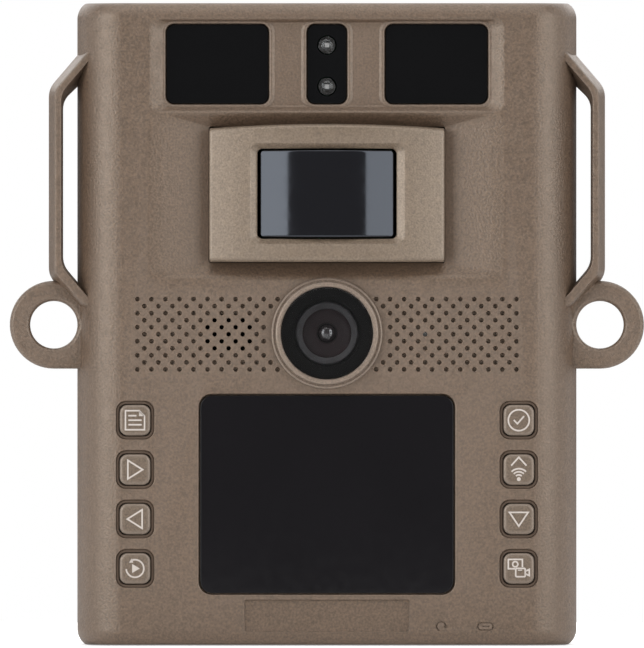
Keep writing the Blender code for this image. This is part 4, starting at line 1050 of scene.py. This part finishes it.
def make_tripod_socket():
    """The brass insert, with rings for its thread."""
    bore, turns, depth = 3.05, 5, 7.5
    step = (depth - 0.8) / turns / 2
    profile = [(4.3, depth), (4.3, 0.5), (3.9, 0.05), (3.6, 0.05)]
    profile += [(bore + (0.32 if i % 2 else 0), 0.5 + i * step) for i in range(turns * 2)]
    profile.append((bore, depth))
    socket = turned("tripod_socket", profile, TRIPOD, "up", 64, closed=True)
    piece(socket, "root", "brass", "tripod_insert", angle=25)


def make_screws():
    """Each housing screw, with a domed cross head and rings for its thread."""
    shank, turns = 1.4, 12
    for name, spot in screw_places().items():
        tip, top = depths_of(name)
        seat = top - 2.2
        profile = [(0, top), (1.2, top - 0.05), (2.1, top - 0.4), (2.55, top - 1.0), (2.7, top - 1.6)]
        profile += [(2.7, seat), (shank, seat)]
        profile += [(shank if i % 2 else 1.15, seat - 6 - i * 1.1) for i in range(turns * 2)]
        profile += [(0.6, tip), (0, tip)]
        screw = turned(name + "_turned", profile, (spot.x, 0, spot.z), "back", 40)
        slots = [
            block("slot", centred(spot.x, wide), (top - 1.2, top + 1), centred(spot.z, tall), 0.1)
            for wide, tall in ((3, 0.75), (0.75, 3))
        ]
        combine(screw, slots)
        piece(screw, "root", "steel", name, angle=30)


def make_cells():
    """Eight AA cells, turned end for end in pairs: a sleeve, a band of another colour and steel ends."""
    sleeve = [(6.2, 0.15), (6.75, 0.0), (7.02, 0.25), (CELL_RADIUS, 0.7), (CELL_RADIUS, CELL_BAND)]
    sleeve += [(6.15, CELL_BAND), (6.15, 0.2)]
    band = [(CELL_RADIUS, CELL_BAND), (CELL_RADIUS, 48.4), (6.95, 48.8), (6.5, 48.95), (6.2, 48.8)]
    band += [(6.15, 48.7), (6.15, CELL_BAND)]
    ends = [(0, 0.1), (4.4, 0.1), (4.8, 0.3), (6.2, 0.3), (6.2, 48.7), (5.2, 48.7), (3.1, 48.9)]
    ends += [(2.75, 49.1), (2.7, 49.9), (2.5, 50.1), (0, 50.15)]
    for number in range(1, 9):
        node = f"battery_cell_{number}"
        spot, size = measured(node)
        low, high = centred(spot.z, size.z)
        axis, base = ("down", high) if (number + (number > 4)) % 2 else ("up", low)
        centre = (spot.x, spot.y, base)
        piece(turned(node + "_sleeve", sleeve, centre, axis, 48, closed=True), "root", "sleeve_blue", node)
        piece(turned(node + "_band", band, centre, axis, 48, closed=True), "root", "sleeve_grey")
        piece(turned(node + "_ends", ends, centre, axis, 48), "root", "steel")


def make_door():
    """The battery door: rounded edges, a hinge barrel, the latch's pocket, two ribbed panels and an arrow."""
    inside, outside = DOOR_FACES
    layers = ((inside, -0.3), (inside + 0.3, 0), (outside - 0.9, 0), (outside - 0.5, -0.08))
    layers += ((outside - 0.2, -0.3), (outside - 0.05, -0.65), (outside, -1.1))
    door = layered("door_panel", DOOR, layers)
    bottom, top = 42, 92.8
    edge = DOOR[0] + DOOR[2] / 2
    web = block("web", (edge - 2, HINGE[0]), (inside + 0.01, outside - 0.31), (bottom + 0.41, top - 0.41))
    combine(door, [hinge_barrel("barrel", bottom, top, 40), web], "UNION")
    sink = ((outside + 2, 0.3), (outside + 0.01, 0.3), (outside - 0.1, 0.1), (outside - 0.3, 0), (25.7, 0))
    cutters = [pin_cutter(), layered("cut_pocket", LATCH_POCKET, sink)]
    rim = ((1, 0.3), (0.01, 0.3), (-0.12, 0.1), (-0.35, 0), (-0.4, -0.15))
    cutters += [layered("cut_panel", (4.5, z, 46, 44, 2.5), rim, outside) for z in DOOR_PANELS]
    arrow = [(-25.5, 84), (-23.2, 85.5), (-25.5, 87)]
    shaft = [(-30.5, 85.15), (-25.49, 85.15), (-25.49, 85.85), (-30.5, 85.85)]
    for outline in (arrow, shaft):
        cutters.append(loft("cut_arrow", [at_depth(outline, y) for y in (outside - 0.25, outside + 1)]))
    combine(door, cutters)
    ribs = []
    for panel in DOOR_PANELS:
        for row in range(7):
            z = panel + (row - 3) * 5.4
            ribs.append(block("rib", centred(4.5, 38), (outside - 0.6, outside - 0.08), centred(z, 1.6), 0.22, 3))
    combine(door, ribs, "UNION")
    piece(door, "battery_door", "door_tan", "battery_door")


def make_latch():
    """The door's sliding latch, with five finger ribs."""
    spot, size = measured("battery_latch")
    left, front = spot.x - size.x / 2, spot.y - size.y / 2
    layers = ((0, -0.3), (0.25, 0), (1.5, 0), (1.8, -0.12), (1.95, -0.4), (2, -0.8))
    latch = layered("latch_slider", face_of("battery_latch", 0, 0.8), layers, front)
    ribs = []
    depths, heights = (front + 1.7, front + 2.58), centred(spot.z, size.z - 5)
    for rib in range(5):
        x = left + size.x * (rib + 1) / 6
        ribs.append(block("rib", centred(x, 0.75), depths, heights, 0.3, 3))
    combine(latch, ribs, "UNION")
    piece(latch, "battery_latch", "latch_tan", "battery_latch")


def make_hinge_pin():
    spot, size = measured("hinge_pin")
    half, radius = size.z / 2, 0.95
    profile = [(0, -half), (0.6, -half), (radius, 0.35 - half), (radius, half - 0.35), (0.6, half), (0, half)]
    piece(turned("pin", profile, spot, "up", 40), "root", "steel", "hinge_pin")


KEPT = {
    "rubber_brown": ("housing_gasket", "door_seal"),
    "silicone_grey": ("keypad_mat_left", "keypad_mat_right"),
    "board_green": ("main_board", "image_sensor_board", "sensor_board"),
    "matt_black": ("lens_holder", "speaker", "display_panel", "memory_card", "power_switch", "reset_button"),
    "steel": (
        "motion_sensor", "microphone", "card_socket", "usb_socket",
        "battery_contacts_lower", "battery_contacts_upper",
    ),
}


def finish_kept_nodes():
    """The CAD nodes that stay: their finish, and small rounded edges."""
    for look, nodes in KEPT.items():
        for node in nodes:
            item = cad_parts[node]
            item.data.materials.clear()
            item.data.materials.append(LOOKS[look])
            weld = item.modifiers.new("weld", "WELD")
            weld.merge_threshold = 1e-6
            edge = item.modifiers.new("edge", "BEVEL")
            edge.width = 0.12 * MM
            edge.segments = 2
            edge.limit_method = "ANGLE"
            edge.angle_limit = math.radians(40)
            edge.use_clamp_overlap = True


# --- Studio ---


def make_floor():
    """A large pale floor that can be seen through, and lit through, from below."""
    shape = bmesh.new()
    bmesh.ops.create_circle(shape, cap_ends=True, radius=FLOOR_RADIUS, segments=96)
    floor = from_bmesh("floor", shape)
    floor.location.z = -0.0002
    material, tree, shader = new_material("floor_paper")
    paper = spread(tree, noise(tree, add(tree, "TexCoord").outputs["Object"], 900.0, 3.0), 0, 1)
    seen = add(tree, "LightPath").outputs["Is Camera Ray"]
    inputs = {
        "Base Color": blended(tree, paper, (0.86, 0.86, 0.86, 1), (0.9, 0.9, 0.9, 1)),
        "Roughness": 0.9,
        "Specular IOR Level": 0.1,
        "Emission Color": (1, 1, 1, 1),
        "Emission Strength": spread(tree, seen, 0, FLOOR_GLOW, 0, 1),
    }
    connect(tree, shader, inputs)
    clear = add(tree, "BsdfTransparent").outputs["BSDF"]
    under = add(tree, "NewGeometry").outputs["Backfacing"]
    sides = add(tree, "MixShader", {0: under, 1: shader.outputs["BSDF"], 2: clear})
    tree.links.new(sides.outputs["Shader"], tree.nodes["Material Output"].inputs["Surface"])
    floor.data.materials.append(material)
    floor.visible_shadow = False


def softbox(name, azimuth, elevation, distance, size, radiance, colour=(1, 1, 1)):
    """A soft rectangular light aimed at the body, from an azimuth counted from the front to the right."""
    light = bpy.data.lights.new(name, "AREA")
    light.shape = "RECTANGLE"
    light.size, light.size_y = size
    light.energy = radiance * math.pi * size[0] * size[1]
    light.color = colour
    item = bpy.data.objects.new(name, light)
    turn, lift = math.radians(azimuth), math.radians(elevation)
    towards = Vector((math.sin(turn) * math.cos(lift), -math.cos(turn) * math.cos(lift), math.sin(lift)))
    item.location = Vector((0, 0, HEIGHT / 2 * MM)) + towards * distance
    item.rotation_euler = towards.to_track_quat("Z", "Y").to_euler()
    item.visible_camera = False
    bpy.context.scene.collection.objects.link(item)


def make_world():
    world = bpy.data.worlds.new("studio")
    world.use_nodes = True
    tree = world.node_tree
    seen = add(tree, "LightPath").outputs["Is Camera Ray"]
    strength = spread(tree, seen, AMBIENT, 1.0, 0, 1)
    connect(tree, tree.nodes["Background"], {"Color": (1, 1, 1, 1), "Strength": strength})
    bpy.context.scene.world = world


def make_camera():
    """A long lens from straight ahead, at half the body's height."""
    camera = bpy.data.cameras.new("camera")
    camera.sensor_fit = "HORIZONTAL"
    camera.sensor_width = 36
    camera.lens = camera.sensor_width * VIEW_DISTANCE / VIEW_WIDTH
    camera.clip_start = 0.05
    item = bpy.data.objects.new("camera", camera)
    item.location = (VIEW_CENTRE[0] * MM, (FRONT - VIEW_DISTANCE) * MM, VIEW_CENTRE[1] * MM)
    item.rotation_euler = (math.pi / 2, 0, 0)
    bpy.context.scene.collection.objects.link(item)
    bpy.context.scene.camera = item


def make_studio():
    make_floor()
    make_world()
    for name, settings in SOFTBOXES.items():
        softbox(name, *settings)
    make_camera()
    bpy.context.scene.view_settings.view_transform = "Standard"


make_finishes()
make_front_shell()
make_rear_shell()
make_windows()
make_leds()
make_bezel()
make_sensor_cover()
make_camera_lens()
make_display()
make_keys()
make_port_cover()
make_tripod_socket()
make_screws()
make_cells()
make_door()
make_latch()
make_hinge_pin()
finish_kept_nodes()
make_studio()
